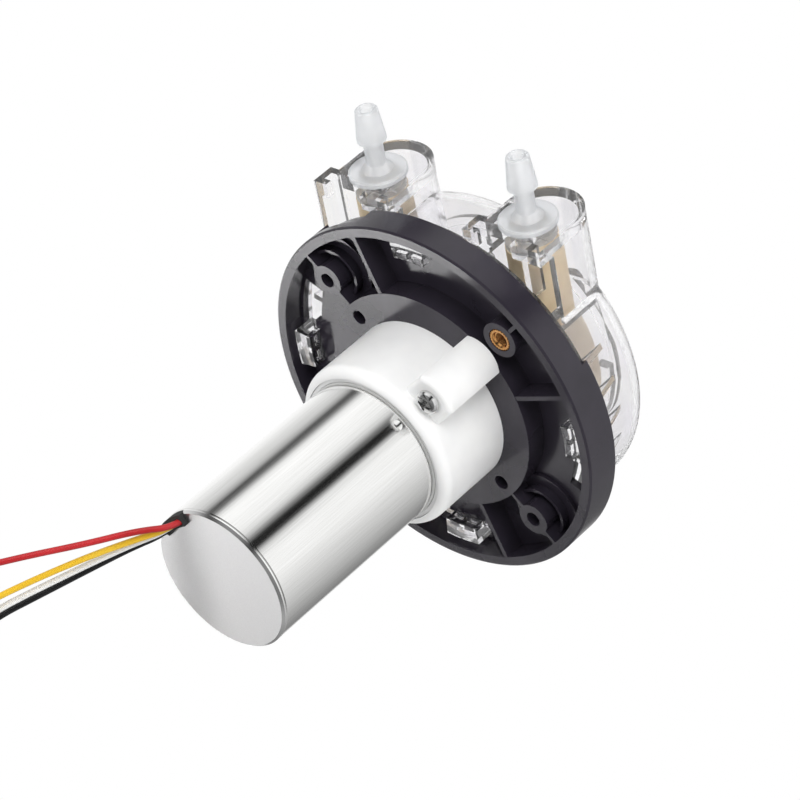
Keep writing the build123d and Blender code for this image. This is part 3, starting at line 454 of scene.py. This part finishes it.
class Finish(Enum):
    """Every finish of the pump head, by what it is in the real one."""

    # charcoal glass-filled nylon, moulded: reads as a soft dark grey with a dull sheen
    CHARCOAL_NYLON = MouldedPlastic("charcoal_glass_nylon", "#26232b", "#2f2b34", 0.23, 1.46)
    # white acetal, moulded: bright and waxy
    WHITE_ACETAL = MouldedPlastic("white_acetal", "#e6e6e6", "#f2f2f1", 0.38, subsurface=0.08)
    # natural acetal of the inner works: a little warmer and duller
    NATURAL_ACETAL = MouldedPlastic("natural_acetal", "#dcdad2", "#e8e6df", 0.45)
    # clear polycarbonate, polished mould: water clear with a trace of lilac
    CLEAR_POLYCARBONATE = ClearPlastic(
        "clear_polycarbonate", "#ffffff", "#fdfcff", 0.0, 1.49, 1.0, alpha=0.94
    )
    # natural polypropylene, moulded: milky, clearer face on and cloudier towards its edges, with a cool grey
    # shade painted there
    NATURAL_POLYPROPYLENE = ClearPlastic(
        "natural_polypropylene",
        "#ffffff",
        "#f8f9fb",
        0.32,
        1.4,
        0.55,
        alpha=0.97,
        ripple_mm=2.5,
        subsurface=0.2,
        face_on=0.5,
        painted_edge_shade="#dadfe4",
    )
    # beige thermoplastic rubber tube, extruded: soft and matt, a little uneven
    TUBE_RUBBER = MouldedPlastic(
        "beige_tube_rubber", "#dcc5a0", "#ead8b8", 0.5, subsurface=0.15, grain_mm=0.6
    )
    # nickel-plated steel, drawn: bright satin with fine lines along the draw
    DRAWN_STEEL = WorkedMetal("plated_drawn_steel", "#ececea", "#f8f8f7", 0.13, line_depth_mm=0.002)
    # pressed end cover, blasted then plated: even pale grey, with a painted highlight on its side and rounded
    # edge
    BLASTED_STEEL = WorkedMetal(
        "blasted_plated_steel", "#bdbdbe", "#c9c9ca", 0.42, line_mm=0.2, stretch=EVEN, painted_edge_highlight="#f6f6f5"
    )
    # brass, turned: warm yellow, a little mottled
    TURNED_BRASS = WorkedMetal("turned_brass", "#b06f3a", "#e2b274", 0.2, line_mm=0.3, stretch=EVEN)
    # chromed screw steel: near a mirror, with faint lines
    CHROMED_STEEL = WorkedMetal("chromed_screw_steel", "#cfcfcf", "#e6e6e6", 0.12, line_mm=0.4)
    # ground shaft steel: grey with fine rings and a soft shine
    GROUND_STEEL = WorkedMetal("ground_shaft_steel", "#b9b9b9", "#cecece", 0.22, stretch=(1.0, 6.0, 1.0))
    # sintered bronze: brown, open-grained
    SINTERED_BRONZE = WorkedMetal("sintered_bronze", "#7a5c34", "#94744a", 0.5, stretch=EVEN)
    # bonded magnet: nearly black, dull
    BONDED_MAGNET = MouldedPlastic("bonded_magnet", "#2b2b2d", "#38383a", 0.6)
    # varnished core plates, stacked: dark grey with the fine lines of their edges round the axis
    CORE_PLATES = WorkedMetal(
        "varnished_core_plates", "#55565a", "#74757a", 0.45, stretch=(0.02, 1.0, 0.02)
    )
    # black rubber, moulded: matt
    BLACK_RUBBER = MouldedPlastic("black_rubber", "#131313", "#1d1d1d", 0.6)
    # wire sleeves, extruded PVC: coloured, satin, with the slow dents of the extrusion for a grain
    RED_SLEEVE = MouldedPlastic(
        "red_pvc_sleeve", "#a3161c", "#b71f25", 0.36, grain_mm=4.0, grain_depth_mm=0.001
    )
    YELLOW_SLEEVE = MouldedPlastic(
        "yellow_pvc_sleeve", "#dcb123", "#e4bd32", 0.36, grain_mm=4.0, grain_depth_mm=0.001
    )
    WHITE_SLEEVE = MouldedPlastic(
        "white_pvc_sleeve", "#e6e6e4", "#ebebea", 0.36, grain_mm=4.0, grain_depth_mm=0.001
    )
    BLACK_SLEEVE = MouldedPlastic(
        "black_pvc_sleeve", "#111112", "#1c1c1e", 0.34, grain_mm=4.0, grain_depth_mm=0.001
    )

    def made(self) -> bpy.types.Material:
        """Return the finish's material, built once."""
        return bpy.data.materials.get(self.value.name) or self.value.material()


def dress(nodes: dict[str, Finish]) -> None:
    """Give CAD nodes their finishes and report each.

    Args:
        nodes: finish of each CAD node.
    """
    for name, finish in nodes.items():
        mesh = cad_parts[name].data
        mesh.materials.clear()
        mesh.materials.append(finish.made())
        log.info("%s: %s", name, finish.value.name)


@dataclass
class Viewpoint:
    """The camera: above and behind the motor's end, on the -X side, rolled by about 11 degrees."""

    place: Triple = (-0.4883, 0.4723, 0.4868)
    right: Triple = (-0.7594, -0.6297, -0.1635)
    up: Triple = (0.2744, -0.5379, 0.7971)
    lens_mm: float = 184.5
    sensor_mm: float = 36.0
    nearest: float = 0.05
    furthest: float = 20.0

    def make(self) -> None:
        """Build the camera and make it the scene's."""
        data = bpy.data.cameras.new("camera")
        data.sensor_width = self.sensor_mm
        data.lens = self.lens_mm
        data.clip_start = self.nearest
        data.clip_end = self.furthest
        camera = bpy.data.objects.new("camera", data)
        bpy.context.scene.collection.objects.link(camera)
        right = Vector(self.right).normalized()
        up = (Vector(self.up) - right * Vector(self.up).dot(right)).normalized()
        back = right.cross(up)
        turn = Matrix((right, up, back)).transposed().to_4x4()
        camera.matrix_world = Matrix.Translation(self.place) @ turn
        bpy.context.scene.camera = camera


@dataclass
class LeadWires:
    """Four motor leads: out of the grommet, past the motor and then hanging down."""

    # radius in metres; places in millimetres
    radius: float = 0.65 * MM
    start_r: float = 14.2
    start_y: float = 64.0
    straight: float = 3.8
    face_y: float = 66.3
    # each lead's exit, as degrees round the pump axis, its sleeve and its points past the straight start
    routes: dict[str, tuple[float, Finish, list[Triple]]] = field(
        default_factory=lambda: {
            "lead_red": (61.5, Finish.RED_SLEEVE, [
                (12.1, 72.6, 13.0), (19.0, 80.4, 12.7), (27.0, 89.8, 13.2), (35.0, 99.0, 13.0),
                (42.0, 105.0, 8.0), (45.4, 106.4, -3.0), (46.5, 106.5, -20.0), (45.2, 105.2, -43.0),
                (46.6, 104.2, -65.0),
            ]),
            "lead_yellow": (54.0, Finish.YELLOW_SLEEVE, [
                (13.4, 72.8, 10.4), (20.0, 79.8, 8.7), (27.6, 88.3, 6.1), (35.0, 96.8, 3.0),
                (40.7, 102.6, -2.4), (43.0, 104.5, -12.5), (43.8, 105.0, -28.0), (42.6, 104.0, -49.0),
                (44.0, 102.8, -70.0),
            ]),
            "lead_white": (46.5, Finish.WHITE_SLEEVE, [
                (14.6, 72.4, 8.7), (20.8, 78.7, 6.1), (28.0, 86.6, 2.9), (35.2, 94.7, -0.4),
                (40.4, 100.2, -6.0), (42.2, 102.0, -16.0), (44.0, 102.6, -31.5), (47.0, 101.8, -52.0),
                (47.2, 101.2, -72.0),
            ]),
            "lead_black": (39.0, Finish.BLACK_SLEEVE, [
                (15.8, 72.0, 7.0), (22.0, 78.4, 3.9), (29.4, 86.4, 0.2), (36.6, 94.0, -3.4),
                (41.9, 98.9, -9.2), (43.8, 100.0, -19.5), (46.6, 99.8, -35.5), (48.4, 99.4, -57.0),
                (49.6, 98.8, -78.0),
            ]),
        }
    )
    # each lead's real length, in metres
    lengths: dict[str, float] = field(
        default_factory=lambda: {
            "lead_red": 0.127,
            "lead_yellow": 0.1195,
            "lead_white": 0.116,
            "lead_black": 0.1185,
        }
    )
    steps_between_points: int = 12
    steps_round_quarter: int = 4

    def make(self) -> None:
        for name, (turn, finish, free) in self.routes.items():
            x, z = self.start_r * cos(radians(turn)), self.start_r * sin(radians(turn))
            points = [(x, self.start_y, z), (x, self.start_y + self.straight, z)] + free
            data = bpy.data.curves.new(f"{name}_wire", "CURVE")
            data.dimensions = "3D"
            spline = data.splines.new("NURBS")
            spline.points.add(len(points) - 1)
            for point, spot in zip(spline.points, points):
                point.co = (*[value * MM for value in spot], 1.0)
            spline.use_endpoint_u = True
            spline.order_u = 3
            spline.resolution_u = self.steps_between_points
            data.bevel_depth = self.radius
            data.bevel_resolution = self.steps_round_quarter
            data.use_fill_caps = True
            data.materials.append(finish.made())
            wire = bpy.data.objects.new(f"{name}_wire", data)
            bpy.context.scene.collection.objects.link(wire)
            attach(wire, "base")
            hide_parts(name)
            log.info("%s: wire of %d points", name, len(points))


class InsertSkin(Enum):
    """How a ring of an insert's skin is cut."""

    KNURL = "straight knurl"
    PLAIN = "turned plain"
    THREAD = "tapped thread"


@dataclass
class ThreadedInserts:
    """The two knurled brass inserts, with their thread; sizes in millimetres."""

    circle_r: float = 31.875
    turns: tuple[float, float] = (135.0, 315.0)
    outer_r: float = 2.56
    knurl_depth: float = 0.24
    knurl_count: int = 24
    rim: float = 0.12
    bore_r: float = 1.3
    thread_depth: float = 0.26
    pitch: float = 0.5
    length: float = 5.5
    chamfer: float = 0.55
    edge_width: float = 0.05
    edge_drop: float = 0.03
    steps: int = 96
    rows_per_pitch: int = 12
    sharp_degrees: float = 42.0

    def rings(self) -> list[tuple[float, float, InsertSkin]]:
        """List the rings of the insert's skin, from the foot of the knurl over the face into the bore.

        Returns:
            Radius, depth below the face and cut of each ring.
        """
        outside = [
            (self.outer_r, self.length, InsertSkin.KNURL),
            (self.outer_r, self.rim, InsertSkin.KNURL),
            (self.outer_r - self.rim, 0.0, InsertSkin.KNURL),
            (self.outer_r - self.rim - self.knurl_depth, 0.0, InsertSkin.PLAIN),
            (self.bore_r + self.chamfer + self.edge_width, 0.0, InsertSkin.PLAIN),
            (self.bore_r + self.chamfer, self.edge_drop, InsertSkin.PLAIN),
            (self.bore_r + self.thread_depth, self.chamfer, InsertSkin.PLAIN),
        ]
        rows = int((self.length - self.chamfer) / self.pitch * self.rows_per_pitch)
        depths = [self.chamfer + row * self.pitch / self.rows_per_pitch for row in range(rows)]
        return outside + [(self.bore_r, depth, InsertSkin.THREAD) for depth in depths]

    def make(self) -> None:
        """Build both inserts as one piece and let it stand for the CAD node."""
        rings = self.rings()
        points: list[Triple] = []
        faces: list[Face] = []
        for turn in self.turns:
            x, z = self.circle_r * cos(radians(turn)), self.circle_r * sin(radians(turn))
            first = len(points)
            for radius, depth, cut in rings:
                for step in range(self.steps):
                    angle = 2 * pi * step / self.steps
                    reach = radius
                    if cut is InsertSkin.KNURL:
                        reach -= self.knurl_depth * abs(sin(angle * self.knurl_count / 2))
                    if cut is InsertSkin.THREAD:
                        phase = (depth / self.pitch - step / self.steps) % 1.0
                        reach += self.thread_depth * (0.5 - 0.5 * cos(2 * pi * phase))
                    points.append(((x + reach * cos(angle)) * MM, -depth * MM, (z + reach * sin(angle)) * MM))
            for row in range(len(rings) - 1):
                for step in range(self.steps):
                    low, high = first + row * self.steps, first + (row + 1) * self.steps
                    after = (step + 1) % self.steps
                    faces.append((low + step, low + after, high + after, high + step))
        brass = Finish.TURNED_BRASS.made()
        pair = skin_object("threaded_insert_pair", points, faces, brass, self.sharp_degrees)
        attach(pair, "base")
        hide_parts("threaded_inserts")
        log.info("threaded_insert_pair: %d faces", len(faces))


class ScrewSkin(Enum):
    """Where a ring of a screw's skin lies."""

    BODY = "shank, underside and side of the head"
    CROWN = "crown outside the cross"
    CROSS = "crown between the arms of the cross, and their floor"
    PIT = "middle of the cross"


@dataclass
class PanHeadScrews:
    """The two gearbox screws: chromed pan heads with a cross recess, and their shanks; in millimetres."""

    circle_r: float = 22.2
    turns: tuple[float, float] = (135.0, 315.0)
    seat_y: float = 15.5
    head_r: float = 2.6
    head_t: float = 1.9
    side_share: float = 0.32
    shank_r: float = 1.45
    slot_half: float = 0.34
    slot_wall: float = 0.07
    slot_reach: float = 1.5
    pit_r: float = 0.52
    slot_depth: float = 1.15
    slot_turn: float = 20.0
    slot_lip: float = 0.05
    # a half width is at most this share of its radius, so that two arms of the cross never meet
    arm_limit: float = 0.7
    # the floor of an arm rises outwards by this share of the depth, along this power
    floor_rise: float = 0.55
    floor_power: float = 1.5
    # the head's small bevel at its seat, and how full its crown is
    edge: float = 0.12
    crown_power: float = 2.6
    # how finely the skin is divided
    crown_rings: int = 12
    crown_spread: float = 1.6
    arm_rings: tuple[float, ...] = (0.95, 0.75, 0.5, 0.25, 0.0)
    floor_steps: int = 4
    land_steps: int = 10
    sharp_degrees: float = 32.0

    def half_angle(self, half_width: float, radius: float) -> float:
        """Return the angle in radians that a half width takes up at a radius."""
        return asin(min(half_width / radius, self.arm_limit))

    def crown(self, radius: float) -> float:
        """Return the height of the head's crown.

        Args:
            radius: distance from the screw's axis, in millimetres.

        Returns:
            Height above the head's seat, in millimetres.
        """
        share = min(radius / self.head_r, 1.0)
        side = self.side_share * self.head_t
        return side + (self.head_t - side) * (1 - share**self.crown_power) ** 0.5

    def height(self, radius: float, zone: ScrewSkin, body: float, floor: bool) -> float:
        """Return the height of one point of the skin.

        Args:
            radius: distance from the screw's axis, in millimetres.
            zone: where the point's ring lies.
            body: height of the ring where it lies on the body.
            floor: whether the point lies in an arm of the cross.

        Returns:
            Height above the head's seat, in millimetres.
        """
        if zone is ScrewSkin.BODY:
            return body
        if zone is ScrewSkin.PIT or (zone is ScrewSkin.CROSS and floor):
            share = max(radius - self.pit_r, 0) / (self.slot_reach - self.pit_r)
            return self.head_t - self.slot_depth * (1 - self.floor_rise * share**self.floor_power)
        return self.crown(radius)

    def rings(self) -> list[tuple[float, ScrewSkin, float]]:
        """List the rings of the skin, from the foot of the shank over the head into the cross.

        Returns:
            Radius, zone and, on the body, height of each ring.
        """
        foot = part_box("gearbox_screws")[0][1] / MM - self.seat_y
        body = [
            (self.shank_r, foot),
            (self.shank_r, 0.0),
            (self.head_r - self.edge, 0.0),
            (self.head_r, self.edge),
            (self.head_r, self.side_share * self.head_t),
        ]
        reach = [
            self.head_r * (1 - (step / self.crown_rings) ** self.crown_spread)
            for step in range(1, self.crown_rings)
        ]
        crown = [radius for radius in reach if radius > self.slot_reach + 2 * self.slot_lip]
        crown += [self.slot_reach + self.slot_lip, self.slot_reach]
        arms = [self.pit_r + (self.slot_reach - self.pit_r) * share for share in self.arm_rings]
        pit = [self.pit_r - self.slot_lip, self.pit_r / 2]
        listed = [(radius, ScrewSkin.BODY, height) for radius, height in body]
        for zone, radii in ((ScrewSkin.CROWN, crown), (ScrewSkin.CROSS, arms), (ScrewSkin.PIT, pit)):
            listed += [(radius, zone, 0.0) for radius in radii]
        return listed

    def ring(self, radius: float) -> list[tuple[float, bool]]:
        """List one ring's angles, so that its points follow the flanks of the cross.

        Args:
            radius: the ring's radius, in millimetres.

        Returns:
            Angle of each point in radians, and whether it lies on the floor of the cross.
        """
        inner = self.half_angle(self.slot_half - self.slot_wall, radius)
        outer = self.half_angle(self.slot_half, radius)
        spots: list[tuple[float, bool]] = []
        for arm in range(4):
            middle = radians(self.slot_turn) + arm * pi / 2
            for step in range(self.floor_steps + 1):
                spots.append((middle - inner + 2 * inner * step / self.floor_steps, True))
            for step in range(self.land_steps + 1):
                spots.append((middle + outer + (pi / 2 - 2 * outer) * step / self.land_steps, False))
        return spots

    def shell(self) -> tuple[list[Triple], list[Face]]:
        """Build one screw with its axis on Y and its seat at Y 0.

        Returns:
            Points in millimetres, and faces.
        """
        rings = self.rings()
        points: list[Triple] = []
        for radius, zone, body in rings:
            for angle, floor in self.ring(max(radius, self.pit_r)):
                points.append(
                    (radius * cos(angle), self.height(radius, zone, body, floor), radius * sin(angle))
                )
        count = len(self.ring(self.pit_r))
        faces: list[Face] = [tuple(range(count))]
        for row in range(len(rings) - 1):
            low, high = row * count, (row + 1) * count
            for here in range(count):
                after = (here + 1) % count
                faces.append((low + here, high + here, high + after, low + after))
        faces.append(tuple(reversed(range((len(rings) - 1) * count, len(rings) * count))))
        return points, faces

    def make(self) -> None:
        """Build both screws as one piece and let it stand for the CAD node."""
        shell, skin = self.shell()
        points: list[Triple] = []
        faces: list[Face] = []
        for turn in self.turns:
            x, z = self.circle_r * cos(radians(turn)), self.circle_r * sin(radians(turn))
            first = len(points)
            points += [((x + a) * MM, (self.seat_y + b) * MM, (z + c) * MM) for a, b, c in shell]
            faces += [tuple(first + corner for corner in face) for face in skin]
        chrome = Finish.CHROMED_STEEL.made()
        pair = skin_object("pan_head_screw_pair", points, faces, chrome, self.sharp_degrees)
        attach(pair, "base")
        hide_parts("gearbox_screws")
        log.info("pan_head_screw_pair: %d faces", len(faces))


@dataclass(frozen=True)
class SoftLamp:
    """A square soft lamp: what it does, its place and target, its side in metres and its power."""

    name: str
    place: Triple
    target: Triple
    size: float
    watts: float

    def make(self) -> None:
        """Build the lamp."""
        data = bpy.data.lights.new(self.name, "AREA")
        data.size = self.size
        data.energy = self.watts
        lamp = bpy.data.objects.new(self.name, data)
        lamp.location = self.place
        lamp.visible_glossy = False
        lamp.visible_camera = False
        lamp.rotation_mode = "QUATERNION"
        lamp.rotation_quaternion = (Vector(self.target) - Vector(self.place)).to_track_quat("-Z", "Y")
        bpy.context.scene.collection.objects.link(lamp)


@dataclass
class Studio:
    """Pale floor, a surround of soft panels that the camera sees as plain white, and soft lamps."""

    floor_colour: str = "#f4f4f4"
    floor_z: float = -0.42
    floor_half: float = 6.0
    world_strength: float = 1.12
    # a small bright window that flat faces towards the motor mirror: its direction, its radius on the
    # unit sphere, its strength, and how many radii out it has faded away
    window: Triple = (0.61, 0.65, -0.454)
    window_radius: float = 0.055
    window_strength: float = 56.0
    window_softness: float = 1.5
    # behind the motor the surround is dimmer: the direction's Y where that begins and ends, and the
    # share of its strength that is left
    behind_from: float = 0.45
    behind_to: float = 0.62
    behind_share: float = 0.28
    lamps: tuple[SoftLamp, ...] = (
        SoftLamp("key", (-0.5, 0.25, 0.95), (0.0, 0.01, 0.0), 0.55, 7.0),
        SoftLamp("fill", (0.3, 0.98, 0.4), (0.0, 0.02, 0.0), 0.7, 4.5),
        SoftLamp("side", (-0.9, -0.1, 0.05), (0.0, 0.0, 0.0), 0.6, 1.9),
    )
    # the surround as soft white panels and black strips, by direction round the pump axis in degrees
    panels: tuple[tuple[float, str], ...] = (
        (-180, "#f3f3f3"),
        (-155, "#dadada"),
        (-123, "#bababa"),
        (-91, "#929292"),
        (-68, "#7a7a7a"),
        (-60, "#d5d5d5"),
        (-50, "#f8f8f8"),
        (-11, "#f4f4f4"),
        (28, "#cccccc"),
        (37, "#a8a8a8"),
        (44, "#3c3c3c"),
        (52, "#707070"),
        (61, "#ebebeb"),
        (70, "#fdfdfd"),
        (98, "#f2f2f2"),
        (110, "#d6d6d6"),
        (117, "#8c8c8c"),
        (123, "#101010"),
        (133, "#141414"),
        (141, "#dcdcdc"),
        (152, "#f4f4f4"),
        (180, "#f3f3f3"),
    )

    def make(self) -> None:
        """Build floor, world and lamps."""
        self.floor()
        self.world()
        for lamp in self.lamps:
            lamp.make()

    def floor(self) -> None:
        """Build the floor: white with no shadow to the camera and through clear pieces, never mirrored."""
        material, tree, output = new_material("pale_floor")
        diffuse = add_node(tree, "ShaderNodeBsdfDiffuse", inputs={"Color": linear(self.floor_colour)})
        glow = add_node(tree, "ShaderNodeEmission", inputs={"Color": linear("#ffffff"), "Strength": 1.0})
        mixed = white_to_camera(tree, diffuse.outputs[0], glow.outputs[0])
        tree.links.new(mixed, output.inputs["Surface"])
        mesh = bpy.data.meshes.new("floor")
        half, z = self.floor_half, self.floor_z
        corners = [(-half, -half, z), (half, -half, z), (half, half, z), (-half, half, z)]
        mesh.from_pydata(corners, [], [(0, 1, 2, 3)])
        mesh.materials.append(material)
        floor = bpy.data.objects.new("floor", mesh)
        bpy.context.scene.collection.objects.link(floor)
        floor.visible_glossy = False

    def world(self) -> None:
        """Light the scene from all round, and show white to the camera and through clear pieces."""
        world = bpy.data.worlds.new("studio")
        world.use_nodes = True
        bpy.context.scene.world = world
        tree = world.node_tree
        tree.nodes.clear()
        output = add_node(tree, "ShaderNodeOutputWorld")
        direction = add_node(tree, "ShaderNodeTexCoord").outputs["Generated"]
        parts = add_node(tree, "ShaderNodeSeparateXYZ", inputs={"Vector": direction})
        turn = add_node(
            tree,
            "ShaderNodeMath",
            {"operation": "ARCTAN2"},
            {"0": parts.outputs["Z"], "1": parts.outputs["X"]},
        )
        share = add_node(
            tree,
            "ShaderNodeMapRange",
            inputs={"Value": turn.outputs[0], "From Min": radians(-180), "From Max": radians(180)},
        )
        stops = [(0.5 + degrees / 360, colour) for degrees, colour in self.panels]
        panels = add_node(tree, "ShaderNodeValToRGB", inputs={"Fac": share.outputs["Result"]}, stops=stops)
        behind = add_node(
            tree,
            "ShaderNodeMapRange",
            inputs={
                "Value": parts.outputs["Y"],
                "From Min": self.behind_from,
                "From Max": self.behind_to,
                "To Min": self.world_strength,
                "To Max": self.behind_share * self.world_strength,
            },
        )
        around = add_node(
            tree,
            "ShaderNodeBackground",
            inputs={"Color": panels.outputs["Color"], "Strength": behind.outputs["Result"]},
        )
        aside = add_node(
            tree, "ShaderNodeVectorMath", {"operation": "DISTANCE"}, {"0": direction, "1": self.window}
        )
        bright = add_node(
            tree,
            "ShaderNodeMapRange",
            inputs={
                "Value": aside.outputs["Value"],
                "From Min": self.window_radius,
                "From Max": self.window_softness * self.window_radius,
                "To Min": self.window_strength,
                "To Max": 0.0,
            },
        )
        pane = add_node(
            tree,
            "ShaderNodeBackground",
            inputs={"Color": linear("#ffffff"), "Strength": bright.outputs["Result"]},
        )
        lit = add_node(
            tree, "ShaderNodeAddShader", inputs={"0": around.outputs[0], "1": pane.outputs[0]}
        )
        white = add_node(
            tree, "ShaderNodeBackground", inputs={"Color": linear("#ffffff"), "Strength": 1.0}
        )
        mixed = white_to_camera(tree, lit.outputs[0], white.outputs[0])
        tree.links.new(mixed, output.inputs["Surface"])


@dataclass
class PumpSide:
    """Base ring, clear cover, barbs, tube and rotor."""

    finishes: dict[str, Finish] = field(
        default_factory=lambda: {
            "base_ring": Finish.CHARCOAL_NYLON,
            "clear_cover": Finish.CLEAR_POLYCARBONATE,
            "inlet_barb": Finish.NATURAL_POLYPROPYLENE,
            "outlet_barb": Finish.NATURAL_POLYPROPYLENE,
            "pump_tube": Finish.TUBE_RUBBER,
            "rotor_back": Finish.NATURAL_ACETAL,
            "rotor_front": Finish.NATURAL_ACETAL,
            "roller_pins": Finish.GROUND_STEEL,
            "rotor_screw": Finish.CHROMED_STEEL,
            "roller_1": Finish.WHITE_ACETAL,
            "roller_2": Finish.WHITE_ACETAL,
            "roller_3": Finish.WHITE_ACETAL,
        }
    )

    def make(self) -> None:
        """Dress the pump's nodes and add the threaded inserts."""
        dress(self.finishes)
        ThreadedInserts().make()


@dataclass
class DriveSide:
    """Gearbox and motor."""

    finishes: dict[str, Finish] = field(
        default_factory=lambda: {
            "output_shaft": Finish.GROUND_STEEL,
            "output_bush": Finish.SINTERED_BRONZE,
            "planet_carrier": Finish.NATURAL_ACETAL,
            "planet_gear_1": Finish.WHITE_ACETAL,
            "planet_gear_2": Finish.WHITE_ACETAL,
            "planet_gear_3": Finish.WHITE_ACETAL,
            "ring_gear": Finish.NATURAL_ACETAL,
            "sun_gear": Finish.SINTERED_BRONZE,
            "gearbox_housing": Finish.WHITE_ACETAL,
            "motor_adapter": Finish.WHITE_ACETAL,
            "motor_can": Finish.DRAWN_STEEL,
            "motor_end_cap": Finish.BLASTED_STEEL,
            "motor_shaft": Finish.GROUND_STEEL,
            "motor_bushes": Finish.SINTERED_BRONZE,
            "magnet_rotor": Finish.BONDED_MAGNET,
            "stator_core": Finish.CORE_PLATES,
            "wire_grommet": Finish.BLACK_RUBBER,
        }
    )

    def make(self) -> None:
        """Dress the drive's nodes and add the screws."""
        dress(self.finishes)
        PanHeadScrews().make()


def main() -> None:
    """Build the scene in order: camera, wires, finishes, studio."""
    logging.basicConfig(level=logging.INFO, format="%(message)s")
    Viewpoint().make()
    LeadWires().make()
    PumpSide().make()
    DriveSide().make()
    Studio().make()
    bpy.context.scene.view_settings.view_transform = "Standard"


if __name__ == "__main__":
    main()
